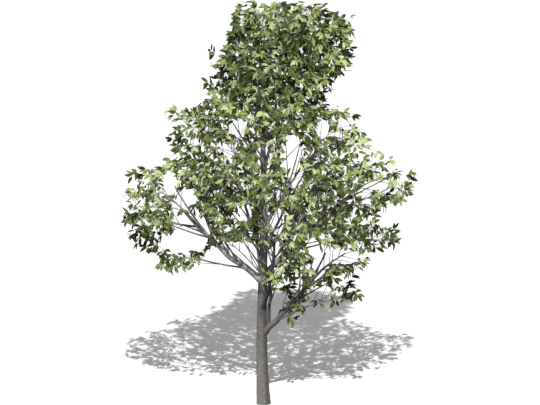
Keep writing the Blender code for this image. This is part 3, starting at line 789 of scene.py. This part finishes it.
def in_opening(points):
    """True for each point in one of the openings, ellipses as seen from the front."""
    points = np.atleast_2d(points)
    height = seen_height(points)
    inside = np.zeros(len(points), bool)
    for middle, up, half_width, half_height in OPENINGS:
        inside |= np.hypot((points[:, 0] - middle) / half_width, (height - up) / half_height) < 1
    return inside


def in_leaf(points):
    """True for each point outside the openings and outside the bare heart of the crown, whose
    reach from the trunk shrinks with height."""
    points = np.atleast_2d(points)
    bare = np.hypot(points[:, 0], points[:, 1]) < by_height(BARE, points[:, 2])
    return ~bare & ~in_opening(points)


def sagging(start, direction, length, sag, steps):
    """Path that starts along the direction and is drawn down by sag, more towards its tip."""
    share = (np.arange(steps) + 0.5) / steps
    step = unit(direction - sag * share[:, None] * UP)
    return np.vstack([start, start + np.cumsum(step * length / steps, axis=0)])


def stem_beside(limb, share, aim, lift, more, length):
    """Stem that leaves a limb at a share of its length and lifts more towards its tip."""
    start = rooted(limbs[limb], share, towards(aim, lift))
    return bough_path(start, (aim, aim), (lift, lift + more), length, STEM_RINGS)


def stem_at_tip(limb, aim, rise, length):
    """Stem that carries on from the tip of a limb."""
    tip, tangent = points_along(limbs[limb]["path"], 1)
    return bough_path(tip - tangent * STEM_SINK, (aim, aim), rise, length, STEM_RINGS)


def all_stems():
    """Stem and size of each mass: at a bough's tip, forking off near it, or on the leader."""
    stems = {}
    for name, (_, _, heading, rise, _, _, mass, fork) in BOUGHS.items():
        turn, lift = fork or (0, 0)
        aim = heading[1] - FORK_COUNTER_TURN * turn
        path = stem_at_tip(name, aim, (rise[1], rise[1] - STEM_BEND), mass)
        stems["foliage_" + name] = (path, mass)
        if fork:
            aim = heading[1] + turn
            lift = rise[1] + lift
            path = stem_beside(name, FORK_PLACE, aim, lift, FORK_STEM_LIFT, mass * FORK_STEM)
            stems["foliage_" + name + "_fork"] = (path, mass)
    for count in range(LEADER_SHOOTS):
        part = count / (LEADER_SHOOTS - 1)
        share = share_on("trunk", part_way(LEADER_HEIGHTS, part))
        aim = LEADER_START_HEADING + GOLDEN_ANGLE * count
        lift = part_way(LEADER_RISE, part)
        path = stem_beside("trunk", share, aim, lift, LEADER_STEM_LIFT, LEADER_STEM)
        stems["foliage_leader_" + str(count + 1)] = (path, LEADER_TWIGS)
    stems["foliage_tip"] = (stem_at_tip("trunk", 0, TIP_RISE, TIP_STEM), LEADER_TWIGS)
    return stems


def within_crown(limb, share, azimuth, full, leaving, lift, sag):
    """Path of a twig or branch that leaves a limb's path at a share of its length: the tangent
    there is tilted by the leaving angle towards the azimuth round it, and lifted. It is cut
    shorter where it would leave the crown or run along an opening, and where even two fifths
    of it would, turned on round the limb."""
    point, tangent = points_along(limb, share)
    beside = unit(np.cross(tangent, ASKEW))
    for turn in BRANCH_TURNS:
        aside = turned(beside, tangent, azimuth + turn)
        heading = unit(turned(tangent, np.cross(tangent, aside), leaving) + lift * UP)
        for part in BRANCH_PARTS:
            path = sagging(point, heading, full * part, sag, BRANCH_STEPS)
            if in_crown(path[2:]).all() and in_opening(path[1:]).sum() < OPENING_POINTS:
                return path
    return None


def grow_round(limb, shares, lengths, way, rng):
    """Branches by the golden angle round a limb's path, one for each share and about as long
    as its length, or None where there is no room for it."""
    roll = rng.uniform(0, 360)
    return [
        within_crown(limb, share, roll + GOLDEN_ANGLE * order, full * rng.uniform(*VARIED), **way)
        for order, (share, full) in enumerate(zip(shares, lengths))
    ]


def grow_mass(stem, size, seed):
    """Twigs of one mass, shorter towards the tip of its stem."""
    shares = TWIG_FIRST + TWIG_SPAN * np.arange(TWIGS) / (TWIGS - 1)
    lengths = TWIG_LENGTH * size * (1 - TWIG_SHORTER * shares)
    twigs = grow_round(stem, shares, lengths, TWIG_WAY, np.random.default_rng(seed))
    return [twig for twig in twigs if twig is not None]


def grow_sides(limb, first, seed):
    """Side branches of a bough from its first share to its tip, each nearly as steep as the
    bough, with the radius at its foot: a share of the bough's there."""
    length = np.linalg.norm(np.diff(limb["path"], axis=0), axis=1).sum()
    count = int(length * (1 - first) / SIDE_GAP)
    shares = first + (1 - first) * np.arange(count) / count
    lengths = part_way(SIDE_LENGTH, shares)
    sides = grow_round(limb["path"], shares, lengths, SIDE_WAY, np.random.default_rng(seed))
    return [
        (side, np.clip(SIDE_SHARE * radius_on(limb, share), *SIDE_RADIUS))
        for side, share in zip(sides, shares)
        if side is not None
    ]


def arm_paths():
    """Branches that the photo shows standing clear: path and radius at foot and tip of each."""
    arms = []
    for on, at, heading, rise, length, thick in ARMS:
        start = rooted(limbs[on], share_on(on, at), towards(heading[0], rise[0]))
        arms.append((bough_path(start, heading, rise, length, ARM_STEPS), np.array(thick) / 2))
    return arms


def near_limb(points, room):
    """True for each point that lies within a limb's radius and the room round it."""
    near = np.zeros(len(points), bool)
    for limb in limbs.values():
        starts, ends = limb["path"][:-1], limb["path"][1:]
        line = ends - starts
        share = ((points[:, None] - starts) * line).sum(2) / (line * line).sum(1)
        foot = starts + np.clip(share, 0, 1)[..., None] * line
        gap = np.linalg.norm(points[:, None] - foot, axis=2)
        near |= (gap < limb["radii"][:-1] + room).any(axis=1)
    return near


def tuft_places():
    """Places of the tufts that the photo shows standing out: on a sunflower's spiral in an
    ellipse that faces the photo's viewer, by turns a little nearer and farther."""
    places = []
    for aside, deep, up, half_width, half_height, count, _ in TUFTS:
        number = np.arange(count)
        reach = np.sqrt((number + 0.5) / count)
        turn = np.radians(GOLDEN_ANGLE) * number
        depth = deep + TUFT_DEPTH * (-1.0) ** number
        height = up + half_height * reach * np.sin(turn) - depth * np.tan(np.radians(SIGHT))
        places.append(np.stack([aside + half_width * reach * np.cos(turn), depth, height], axis=1))
    return np.concatenate(places)


def outward(points):
    """Level unit vector from the trunk's line to each point."""
    return unit(points * (1 - UP) + TINY * UP)


def free_places(seed):
    """Places for sprays of leaves: all those of the tufts, then seeded tries in the leafy part
    of the crown, each kept when none kept before it lies within its room. The room goes by the
    height, and grows far out from the trunk's line and deep inside the crown."""
    rng = np.random.default_rng(seed)
    tries = rng.uniform(cad_low, cad_high, (SPRAY_TRIES, 3))
    tries = tries[in_crown(tries + SPRAY_INSIDE * outward(tries)) & in_leaf(tries)]
    tries = tries[~near_limb(tries, SPRAY_OFF_LIMB)]
    tufts = tuft_places()
    tries = np.concatenate([tufts, tries])
    places = tries.copy()
    count = 0
    far = np.clip(np.hypot(tries[:, 0], tries[:, 1]) - SPRAY_THINNER_FROM, 0, 1)
    rooms = by_height(SPRAY_ROOM, tries[:, 2])
    rooms *= 1 + SPRAY_THINNER * far
    rooms *= 1 + SPRAY_HOLLOW * (1 - np.clip(crown_share(tries), 0, 1))
    rooms[:len(tufts)] = 0
    for place, room in zip(tries, rooms):
        if not (((places[:count] - place) ** 2).sum(1) < room ** 2).any():
            places[count] = place
            count += 1
    return places[:count]


def places_on(paths, first, count):
    """Points and directions at evenly spread shares from the first to the tip of each path."""
    points, tangents = points_along(paths, np.linspace(first, 1, count))
    return points.reshape(-1, 3), tangents.reshape(-1, 3)


def nearest(places, points):
    """Number of the point nearest to each place, and how far off it is."""
    number = []
    gap = []
    for part in np.array_split(places, len(places) // PLACES_AT_ONCE + 1):
        apart = np.linalg.norm(part[:, None] - points, axis=2)
        number.append(apart.argmin(axis=1))
        gap.append(apart.min(axis=1))
    return np.concatenate(number), np.concatenate(gap)


def grow_shoots(places, points, aims):
    """Shoot to each place from the nearest wood, in rounds that reach further each time and may
    start from earlier shoots. It sets out along the wood and bends over to the place, and it
    crosses no opening unless its place is in one."""
    shoots = []
    roots = []
    bend = np.linspace(0, 1, SHOOT_STEPS + 1)[None, :, None]
    for reach in SHOOT_REACH:
        number, gap = nearest(places, points)
        root = points[number]
        aim = unit(aims[number] + SHOOT_LIFT * UP)
        elbow = root + SHOOT_START * gap[:, None] * aim
        path = (1 - bend) ** 2 * root[:, None] + 2 * bend * (1 - bend) * elbow[:, None]
        path = path + bend ** 2 * places[:, None]
        crossing = in_opening(path[:, 1:-1].reshape(-1, 3)).reshape(-1, SHOOT_STEPS - 1).any(axis=1)
        served = (gap < reach) & (in_leaf(path[:, 3]) & ~crossing | in_opening(places))
        shoots.append(path[served])
        roots.append(number[served])
        points = np.concatenate([points, path[served][:, 2:].reshape(-1, 3)])
        aims = np.concatenate([aims, unit(np.diff(path[served], axis=1))[:, 1:].reshape(-1, 3)])
        places = places[~served]
    return np.concatenate(shoots), np.concatenate(roots)


def bearing(paths, roots, first, count):
    """Paths that bear a shoot, each cut off at its last one, and their numbers. The roots number
    the places along the paths, count to each, from which shoots leave."""
    share = np.linspace(first, 1, count)
    last = np.zeros(len(paths))
    np.maximum.at(last, roots // count, share[roots % count])
    kept = np.flatnonzero(last > 0)
    bent = np.linspace(0, 1, paths.shape[1])
    cut = [
        [np.interp(bent * last[row], bent, paths[row][:, axis]) for axis in range(3)]
        for row in kept
    ]
    return np.array(cut).transpose(0, 2, 1), kept


stems = all_stems()
stem_paths = np.array([path for path, _ in stems.values()])
twig_paths = np.array([
    twig
    for order, (path, size) in enumerate(stems.values())
    for twig in grow_mass(path, size, TWIG_SEED + order)
])
sides = [
    side
    for order, name in enumerate(BOUGHS)
    for side in grow_sides(limbs[name], SIDE_FIRST, SIDE_SEED + order)
]
sides += grow_sides(limbs["trunk"], SIDE_FIRST_ON_TRUNK, SIDE_SEED_ON_TRUNK)
side_paths = np.array([path for path, _ in sides])
side_feet = np.array([foot for _, foot in sides])
arms = arm_paths()
arm_lines = np.array([path for path, _ in arms])
arm_radii = np.array([np.linspace(*radii, ARM_STEPS + 1) for _, radii in arms])
bearers = (
    places_on(np.concatenate([twig_paths, side_paths]), *ON_TWIGS),
    places_on(stem_paths, *ON_STEMS),
    places_on(np.array([limbs[name]["path"] for name in BOUGHS]), *ON_BOUGHS),
    places_on(arm_lines, *ON_ARMS),
)
points, aims = (np.concatenate(column) for column in zip(*bearers))
shoot_paths, shoot_roots = grow_shoots(free_places(SPRAY_SEED), points, aims)
side_start = len(twig_paths) * ON_TWIGS[1]
side_end = side_start + len(side_paths) * ON_TWIGS[1]
twig_roots = shoot_roots[shoot_roots < side_start]
side_roots = shoot_roots[(shoot_roots >= side_start) & (shoot_roots < side_end)] - side_start
twig_paths, _ = bearing(twig_paths, twig_roots, *ON_TWIGS)
side_paths, kept_sides = bearing(side_paths, side_roots, *ON_TWIGS)
side_feet = side_feet[kept_sides]
stem_feet = np.full(len(stems), radius_on(limbs["trunk"], NEAR_TIP))
for order, name in enumerate(stems):
    bough = name.removeprefix("foliage_").removesuffix("_fork")
    if bough in limbs:
        stem_feet[order] = STEM_SHARE * limbs[bough]["radii"][-1]


def tapering(paths, feet, tips, sides):
    """Tubes along the paths, each of which tapers evenly from the radius of its foot to the
    radius of its tip."""
    share = np.linspace(0, 1, paths.shape[1])
    ends = [np.broadcast_to(end, len(paths))[:, None] for end in (feet, tips)]
    return tubes(paths, part_way(ends, share), sides)


wood = [
    tubes(arm_lines, arm_radii, ARM_SIDES),
    tapering(side_paths, side_feet, SIDE_TIP * side_feet, BRANCH_SIDES),
    tapering(stem_paths, stem_feet, STEM_TIP * stem_feet, STEM_SIDES),
    tapering(twig_paths, *TWIG_RADIUS, TWIG_SIDES),
    tapering(shoot_paths, *SHOOT_RADIUS, SHOOT_SIDES),
]
starts = np.cumsum([0] + [len(points) for points, _, _ in wood[:-1]])
twig_look = {"fineness": 160.0, "mottling": 0.6, "depth": 0.0006}
twig_bark = bark_material("twig_bark", TWIG_LIGHT, TWIG_DARK, **twig_look)
twigs = make_piece(
    "twigs",
    np.concatenate([points for points, _, _ in wood]),
    np.concatenate([faces + start for (_, faces, _), start in zip(wood, starts)]),
    [twig_bark],
    bark_place=np.concatenate([place for _, _, place in wood]),
)
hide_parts(*stems)


# Leaves
# Real hackberry leaves are long ovals drawn out to a tip, on short stalks, left and right in turn
# along each shoot with three at its end. Each spray hangs outwards in one plane, and its leaves
# take one of five plain greens or the next paler or darker one. The greens are partly the leaves'
# own and partly painted: the darkest are painted shade, the brightest painted light and sheen.
LEAF_LENGTH = 0.126
LEAF_WIDTH = 0.044
STALK = 0.13
STALK_HALF_WIDTH = 0.0011
RIB_HALF_WIDTH = 0.0022
RIB_NARROWING = 0.7
BLADE_ROWS = (0.10, 0.27, 0.47, 0.68, 0.87)
BLADE_FOOT_POWER = 0.9
BLADE_TIP_POWER = 1.15
BLADE_PEAK = 0.2452
BLADE_UNEVEN = 0.10
LEAF_SEED = 5
LEAF_SIZES = (0.80, 1.12)
LEAF_GAP = 0.042
LEAFY = 0.13
LEAVES_AT_TIP = 3
LEAF_SPREAD = 44
LEAF_SPREAD_STRAY = 12
LAST_LEAF_STRAY = 15
LEAF_STRAY = 0.14
NEARLY_UP = np.array([0.02, 0.01, 1.0])
LEAF_OUTWARD = 0.75
LEAF_DROOP = (0.15, 0.95)
LEAF_FACING = 0.30
LEAF_ROLL = 62
LEAF_LEAN = 0.25
LEAF_PAST_SOLIDS = 0.075
LEAF_OFF_LIMB = 0.012
LEAF_TESTED_AT = 0.7
KEEL = 0.24
CURL = 0.10
CURL_SPAN = (0.4, 1.6)
# Green of the leaves: its colour and its share of the sprays. It is partly the leaves' own green
# and partly painted: the darkest stand in for leaves in shade, the brightest for sunlit ones with
# sheen
TINTS = {
    "bright": ((0.164, 0.200, 0.086), 0.16),
    "fresh": ((0.116, 0.147, 0.049), 0.21),
    "green": ((0.074, 0.100, 0.026), 0.22),
    "deep": ((0.038, 0.056, 0.011), 0.20),
    "dark": ((0.015, 0.025, 0.003), 0.20),
}
# Midribs: a pale one, and a dark one for the two darkest greens, carrying their painted shade
RIBS = {"leaf_rib_pale": (0.185, 0.220, 0.095), "leaf_rib_painted_shade": (0.058, 0.076, 0.022)}
PAINTED_SHADE_RIB_FROM = 3
JUST_SHORT = 0.999
TINT_STEPS = (-1, -1, 0, 0, 1, 1)
LEAF_SHINE = 0.16
LEAF_ROUGHNESS = 0.52
RIB_ROUGHNESS = 0.60
ROUGHNESS_SPAN = 0.12
# Tiers of the crown, one piece of leaves each, with the height at which each ends
TIERS = {"lower": 1.95, "middle": 2.65, "upper": 3.35, "high": 4.05, "top": 9.9}


def leaf_template():
    """Points (share along, share across, row's share of the blade) and triangles of one leaf:
    a stalk two points wide, rows of four points with the rib between the inner two, and a tip."""
    rows = [(0.0, -1.0, -1.0), (0.0, 1.0, -1.0), (STALK, -1.0, 0.0), (STALK, 1.0, 0.0)]
    for blade in BLADE_ROWS:
        place = STALK + (1 - STALK) * blade
        rows += [(place, across, blade) for across in (-2.0, -1.0, 1.0, 2.0)]
    rows.append((1.0, 0.0, 1.0))
    faces = [(0, 3, 1), (0, 2, 3), (2, 5, 6), (2, 6, 3), (2, 4, 5), (3, 6, 7)]
    ribs = [1, 1, 1, 1, 0, 0]
    for row in range(len(BLADE_ROWS) - 1):
        low = 4 + 4 * row
        for column in range(3):
            here = low + column
            faces += [(here, here + 4, here + 5), (here, here + 5, here + 1)]
            ribs += [column == 1] * 2
    low = 4 * len(BLADE_ROWS)
    tip = low + 4
    faces += [(low, tip, low + 1), (low + 1, tip, low + 2), (low + 2, tip, low + 3)]
    ribs += [0, 1, 0]
    return np.array(rows), np.array(faces), np.array(ribs, bool)


def leaves_of(shoot, rng):
    """Leaves of one shoot: root, direction, face direction and size of each. They stand left
    and right in turn along its last part, in one plane rolled about the way the spray hangs,
    outwards and down, and the last leaf points that way."""
    length = np.linalg.norm(np.diff(shoot, axis=0), axis=1).sum()
    count = int(min(length, LEAFY) / LEAF_GAP + 0.5) + LEAVES_AT_TIP
    share = 1 - np.arange(count - 1, -1, -1) * LEAF_GAP / length
    share[-LEAVES_AT_TIP:] = 1.0
    root, _ = points_along(shoot, np.clip(share, 0, 1))
    droop = rng.uniform(*LEAF_DROOP)
    ahead = unit(shoot[-1] - shoot[-3]) + LEAF_OUTWARD * outward(shoot[-1:])[0]
    ahead = unit(ahead - droop * UP)
    flat = unit(np.cross(ahead, NEARLY_UP))
    above = np.cross(flat, ahead)
    roll = np.radians(rng.normal(0, LEAF_ROLL))
    beside = flat * np.cos(roll) + above * np.sin(roll)
    spread = LEAF_SPREAD + rng.uniform(-LEAF_SPREAD_STRAY, LEAF_SPREAD_STRAY, count)
    spread = spread * (-1) ** np.arange(count)
    spread[-1] = rng.uniform(-LAST_LEAF_STRAY, LAST_LEAF_STRAY)
    spread = np.radians(spread)[:, None]
    heading = ahead * np.cos(spread) + beside * np.sin(spread)
    heading = unit(heading + rng.normal(0, LEAF_STRAY, (count, 3)))
    up = above * np.cos(roll) - flat * np.sin(roll) + LEAF_FACING * outward(root)
    up = up + rng.normal(0, LEAF_LEAN, (count, 3))
    up = unit(up - heading * np.sum(up * heading, axis=1, keepdims=True))
    return root, heading, up, rng.uniform(*LEAF_SIZES, count)


def leaf_meshes(root, heading, up, size, curl):
    """Points of many leaves. At a share v of the blade its half width goes by v to the foot's
    power times (1 - v) to the tip's, over the peak of that product. The left side is a little
    fuller, the sides lift by KEEL of their reach, and the blade curls down by the square of v."""
    along, across, blade = LEAF[0].T
    inner = np.clip(blade, 0, 1)
    half = 0.5 * LEAF_WIDTH / BLADE_PEAK
    half = half * inner ** BLADE_FOOT_POWER * (1 - inner) ** BLADE_TIP_POWER
    rib = np.where(blade > 0, RIB_HALF_WIDTH * (1 - RIB_NARROWING * inner), STALK_HALF_WIDTH)
    edge = np.abs(across) == 2
    reach = np.where(edge, half, np.where(inner > 0, np.minimum(rib, half), rib))
    reach = reach * np.sign(across) * (1 + BLADE_UNEVEN * (1 - inner) * (edge & (across < 0)))
    lift = KEEL * np.abs(reach)[None] - curl[:, None] * LEAF_LENGTH * inner[None] ** 2
    beside = np.cross(up, heading)
    size = size[:, None, None]
    return root[:, None] + size * (
        heading[:, None] * (along * LEAF_LENGTH)[None, :, None]
        + beside[:, None] * reach[None, :, None]
        + up[:, None] * lift[..., None]
    )


def leaf_material(name, colour, rough):
    """Slightly waxy leaf of one plain colour, its roughness broken up by a fine noise."""
    material, skin = new_material(name)
    tree = material.node_tree
    place = add_node(tree, "ShaderNodeTexCoord").outputs["Object"]
    grain = noise_node(tree, place, scale=70.0, detail=2.0)
    wanted = (rough - ROUGHNESS_SPAN, rough + ROUGHNESS_SPAN)
    feed(skin, {
        "Base Color": (*colour, 1.0),
        "Specular IOR Level": LEAF_SHINE,
        "Roughness": range_node(tree, grain, (0.0, 1.0), wanted),
    })
    return material


def tier_at(height):
    """Name of the crown's tier at a height."""
    return next(name for name, top in TIERS.items() if height < top)


LEAF = leaf_template()
leaf_rng = np.random.default_rng(LEAF_SEED)
tuft_points = tuft_places()
tuft_tints = np.concatenate([[list(TINTS).index(tint)] * count for *_, count, tint in TUFTS])
tint_ends = np.cumsum([share for _, share in TINTS.values()])
leaf_skins = [
    leaf_material("leaf_" + name, colour, LEAF_ROUGHNESS) for name, (colour, _) in TINTS.items()
]
leaf_skins += [leaf_material(name, colour, RIB_ROUGHNESS) for name, colour in RIBS.items()]
tier_leaves = {tier: [] for tier in TIERS}
tier_masses = {tier: [] for tier in TIERS}
leaf_pieces = []
for name, (path, _) in stems.items():
    tier_masses[tier_at(path[:, 2].mean())].append(name)
for shoot in shoot_paths:
    root, heading, up, size = leaves_of(shoot, leaf_rng)
    tint = np.searchsorted(tint_ends, leaf_rng.uniform(0, JUST_SHORT * tint_ends[-1]))
    tuft = np.isclose(tuft_points, shoot[-1]).all(axis=1)
    if tuft.any():
        tint = tuft_tints[tuft][0]
    tints = np.clip(tint + leaf_rng.choice(TINT_STEPS, len(size)), 0, len(TINTS) - 1)
    by_hand = np.full(len(size), tuft.any())
    tier_leaves[tier_at(shoot[-1, 2])].append((root, heading, up, size, tints, by_hand))
for tier, rows in tier_leaves.items():
    root, heading, up, size, tints, by_hand = (np.concatenate(column) for column in zip(*rows))
    tips = root + heading * (size * LEAF_LENGTH)[:, None]
    kept = by_hand | in_leaf((1 - LEAF_TESTED_AT) * root + LEAF_TESTED_AT * tips)
    kept &= (tips > np.array(cad_low) - LEAF_PAST_SOLIDS).all(axis=1)
    kept &= (tips < np.array(cad_high) + LEAF_PAST_SOLIDS).all(axis=1)
    kept &= ~near_limb(tips, LEAF_OFF_LIMB) & ~near_limb(0.5 * (root + tips), LEAF_OFF_LIMB)
    root, heading, up, size, tints = (column[kept] for column in (root, heading, up, size, tints))
    curl = CURL * leaf_rng.uniform(*CURL_SPAN, len(size))
    points = leaf_meshes(root, heading, up, size, curl)
    faces = LEAF[1] + (np.arange(len(root)) * points.shape[1])[:, None, None]
    rib_slot = len(TINTS) + (tints >= PAINTED_SHADE_RIB_FROM)
    slots = np.where(LEAF[2][None], rib_slot[:, None], tints[:, None])
    leaves = make_piece(
        "leaves_" + tier,
        points.reshape(-1, 3),
        faces.reshape(-1, 3),
        leaf_skins,
        slots.ravel(),
    )
    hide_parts(*tier_masses[tier])
    leaf_pieces.append(leaves)


# Floor, light and camera
# A pale level floor, and a long lens that looks down on the tree as the photo does. The main sun
# is high in front. One from the left lights the wood alone and one in front the leaves alone,
# and two broad soft ones, in front and behind, leave the floor out.
FLOOR_HALF = 60.0
SUNLIGHT = (1.0, 0.995, 0.985)
WHITE = (1.0, 1.0, 1.0)
# Each sun: heading and rise in degrees, strength, spread in degrees, and colour
SUNS = {
    "key": (-90, 43, 4.9, 0.5, SUNLIGHT),
    "side": (-138, 40, 5.6, 2.0, SUNLIGHT),
    "leaf": (-76, 46, 5.2, 2.0, SUNLIGHT),
    "fill": (-80, 25, 1.5, 70.0, WHITE),
    "back": (90, 40, 1.6, 70.0, WHITE),
}
DOME_LIGHT = (0.12, 0.42)
DOME_EDGE = (-0.15, 0.10)
CAMERA_DISTANCE = 200.0
SENSOR = 36.0
# In pixels of the photo: to a metre, its width, its middle, and where the trunk meets the ground
PHOTO_SCALE = 80.0
PHOTO_WIDTH = 540
PHOTO_MIDDLE = (270.0, 202.5)
PHOTO_FOOT = (263.5, 404.0)

floor_mesh = bpy.data.meshes.new("floor")
corners = ((-1, -1), (1, -1), (1, 1), (-1, 1))
floor_mesh.from_pydata(
    [(x * FLOOR_HALF, y * FLOOR_HALF, 0) for x, y in corners],
    [],
    [(0, 1, 2, 3)],
)
floor = add_object("floor", floor_mesh)
floor_paint, floor_skin = new_material("floor_paint")
feed(floor_skin, {
    "Base Color": (0.80, 0.80, 0.80, 1),
    "Roughness": 0.9,
    "Specular IOR Level": 0.0,
})
floor_mesh.materials.append(floor_paint)
floor.visible_diffuse = False
floor.visible_glossy = False


def add_sun(name, heading, rise, strength, spread, colour):
    """Sun lamp that shines from a heading and rise, both in degrees."""
    lamp = bpy.data.lights.new(name, "SUN")
    lamp.energy = strength
    lamp.angle = np.radians(spread)
    lamp.color = colour
    sun = add_object(name, lamp)
    sun.rotation_euler = (np.radians(90 - rise), 0, np.radians(heading + 90))
    return sun


def gathered(name, pieces):
    """Collection of the pieces that a sun's light is meant for."""
    group = bpy.data.collections.new(name)
    for piece in pieces:
        group.objects.link(piece)
    return group


suns = {name: add_sun(name, *values) for name, values in SUNS.items()}
wood_lit = gathered("wood_lit_from_the_side", (trunk, boughs, twigs))
leaves_lit = gathered("leaves_lit_from_the_front", leaf_pieces)
floor_unlit = gathered("floor_left_out_of_soft_light", [floor])
suns["side"].light_linking.receiver_collection = wood_lit
suns["leaf"].light_linking.receiver_collection = leaves_lit
suns["fill"].light_linking.receiver_collection = floor_unlit
suns["back"].light_linking.receiver_collection = floor_unlit
floor_unlit.collection_objects[0].light_linking.link_state = "EXCLUDE"

world = bpy.data.worlds.new("studio")
bpy.context.scene.world = world
world.use_nodes = True
sky = world.node_tree
way = add_node(sky, "ShaderNodeTexCoord").outputs["Generated"]
up = add_node(sky, "ShaderNodeSeparateXYZ", {"Vector": way}).outputs["Z"]
background = sky.nodes["Background"]
feed(background, {
    "Color": (1, 1, 1, 1),
    "Strength": range_node(sky, up, DOME_EDGE, DOME_LIGHT),
})
seen = add_node(sky, "ShaderNodeBackground", {"Color": (1, 1, 1, 1), "Strength": 1.0})
mixed = add_node(sky, "ShaderNodeMixShader", {
    "Fac": add_node(sky, "ShaderNodeLightPath").outputs["Is Camera Ray"],
    1: background.outputs["Background"],
    2: seen.outputs["Background"],
})
feed(sky.nodes["World Output"], {"Surface": mixed.outputs["Shader"]})
bpy.context.scene.view_settings.view_transform = "Standard"

lens = bpy.data.cameras.new("long_lens")
lens.sensor_width = SENSOR
lens.lens = PHOTO_SCALE * SENSOR / PHOTO_WIDTH * CAMERA_DISTANCE
lens.clip_end = 2 * CAMERA_DISTANCE
camera = add_object("camera", lens)
sight = np.radians(SIGHT)
target = np.array([
    (PHOTO_MIDDLE[0] - PHOTO_FOOT[0]) / PHOTO_SCALE,
    0,
    (PHOTO_FOOT[1] - PHOTO_MIDDLE[1]) / PHOTO_SCALE / np.cos(sight),
])
camera.location = target + CAMERA_DISTANCE * np.array([0, -np.cos(sight), np.sin(sight)])
camera.rotation_euler = (np.radians(90) - sight, 0, 0)
bpy.context.scene.camera = camera
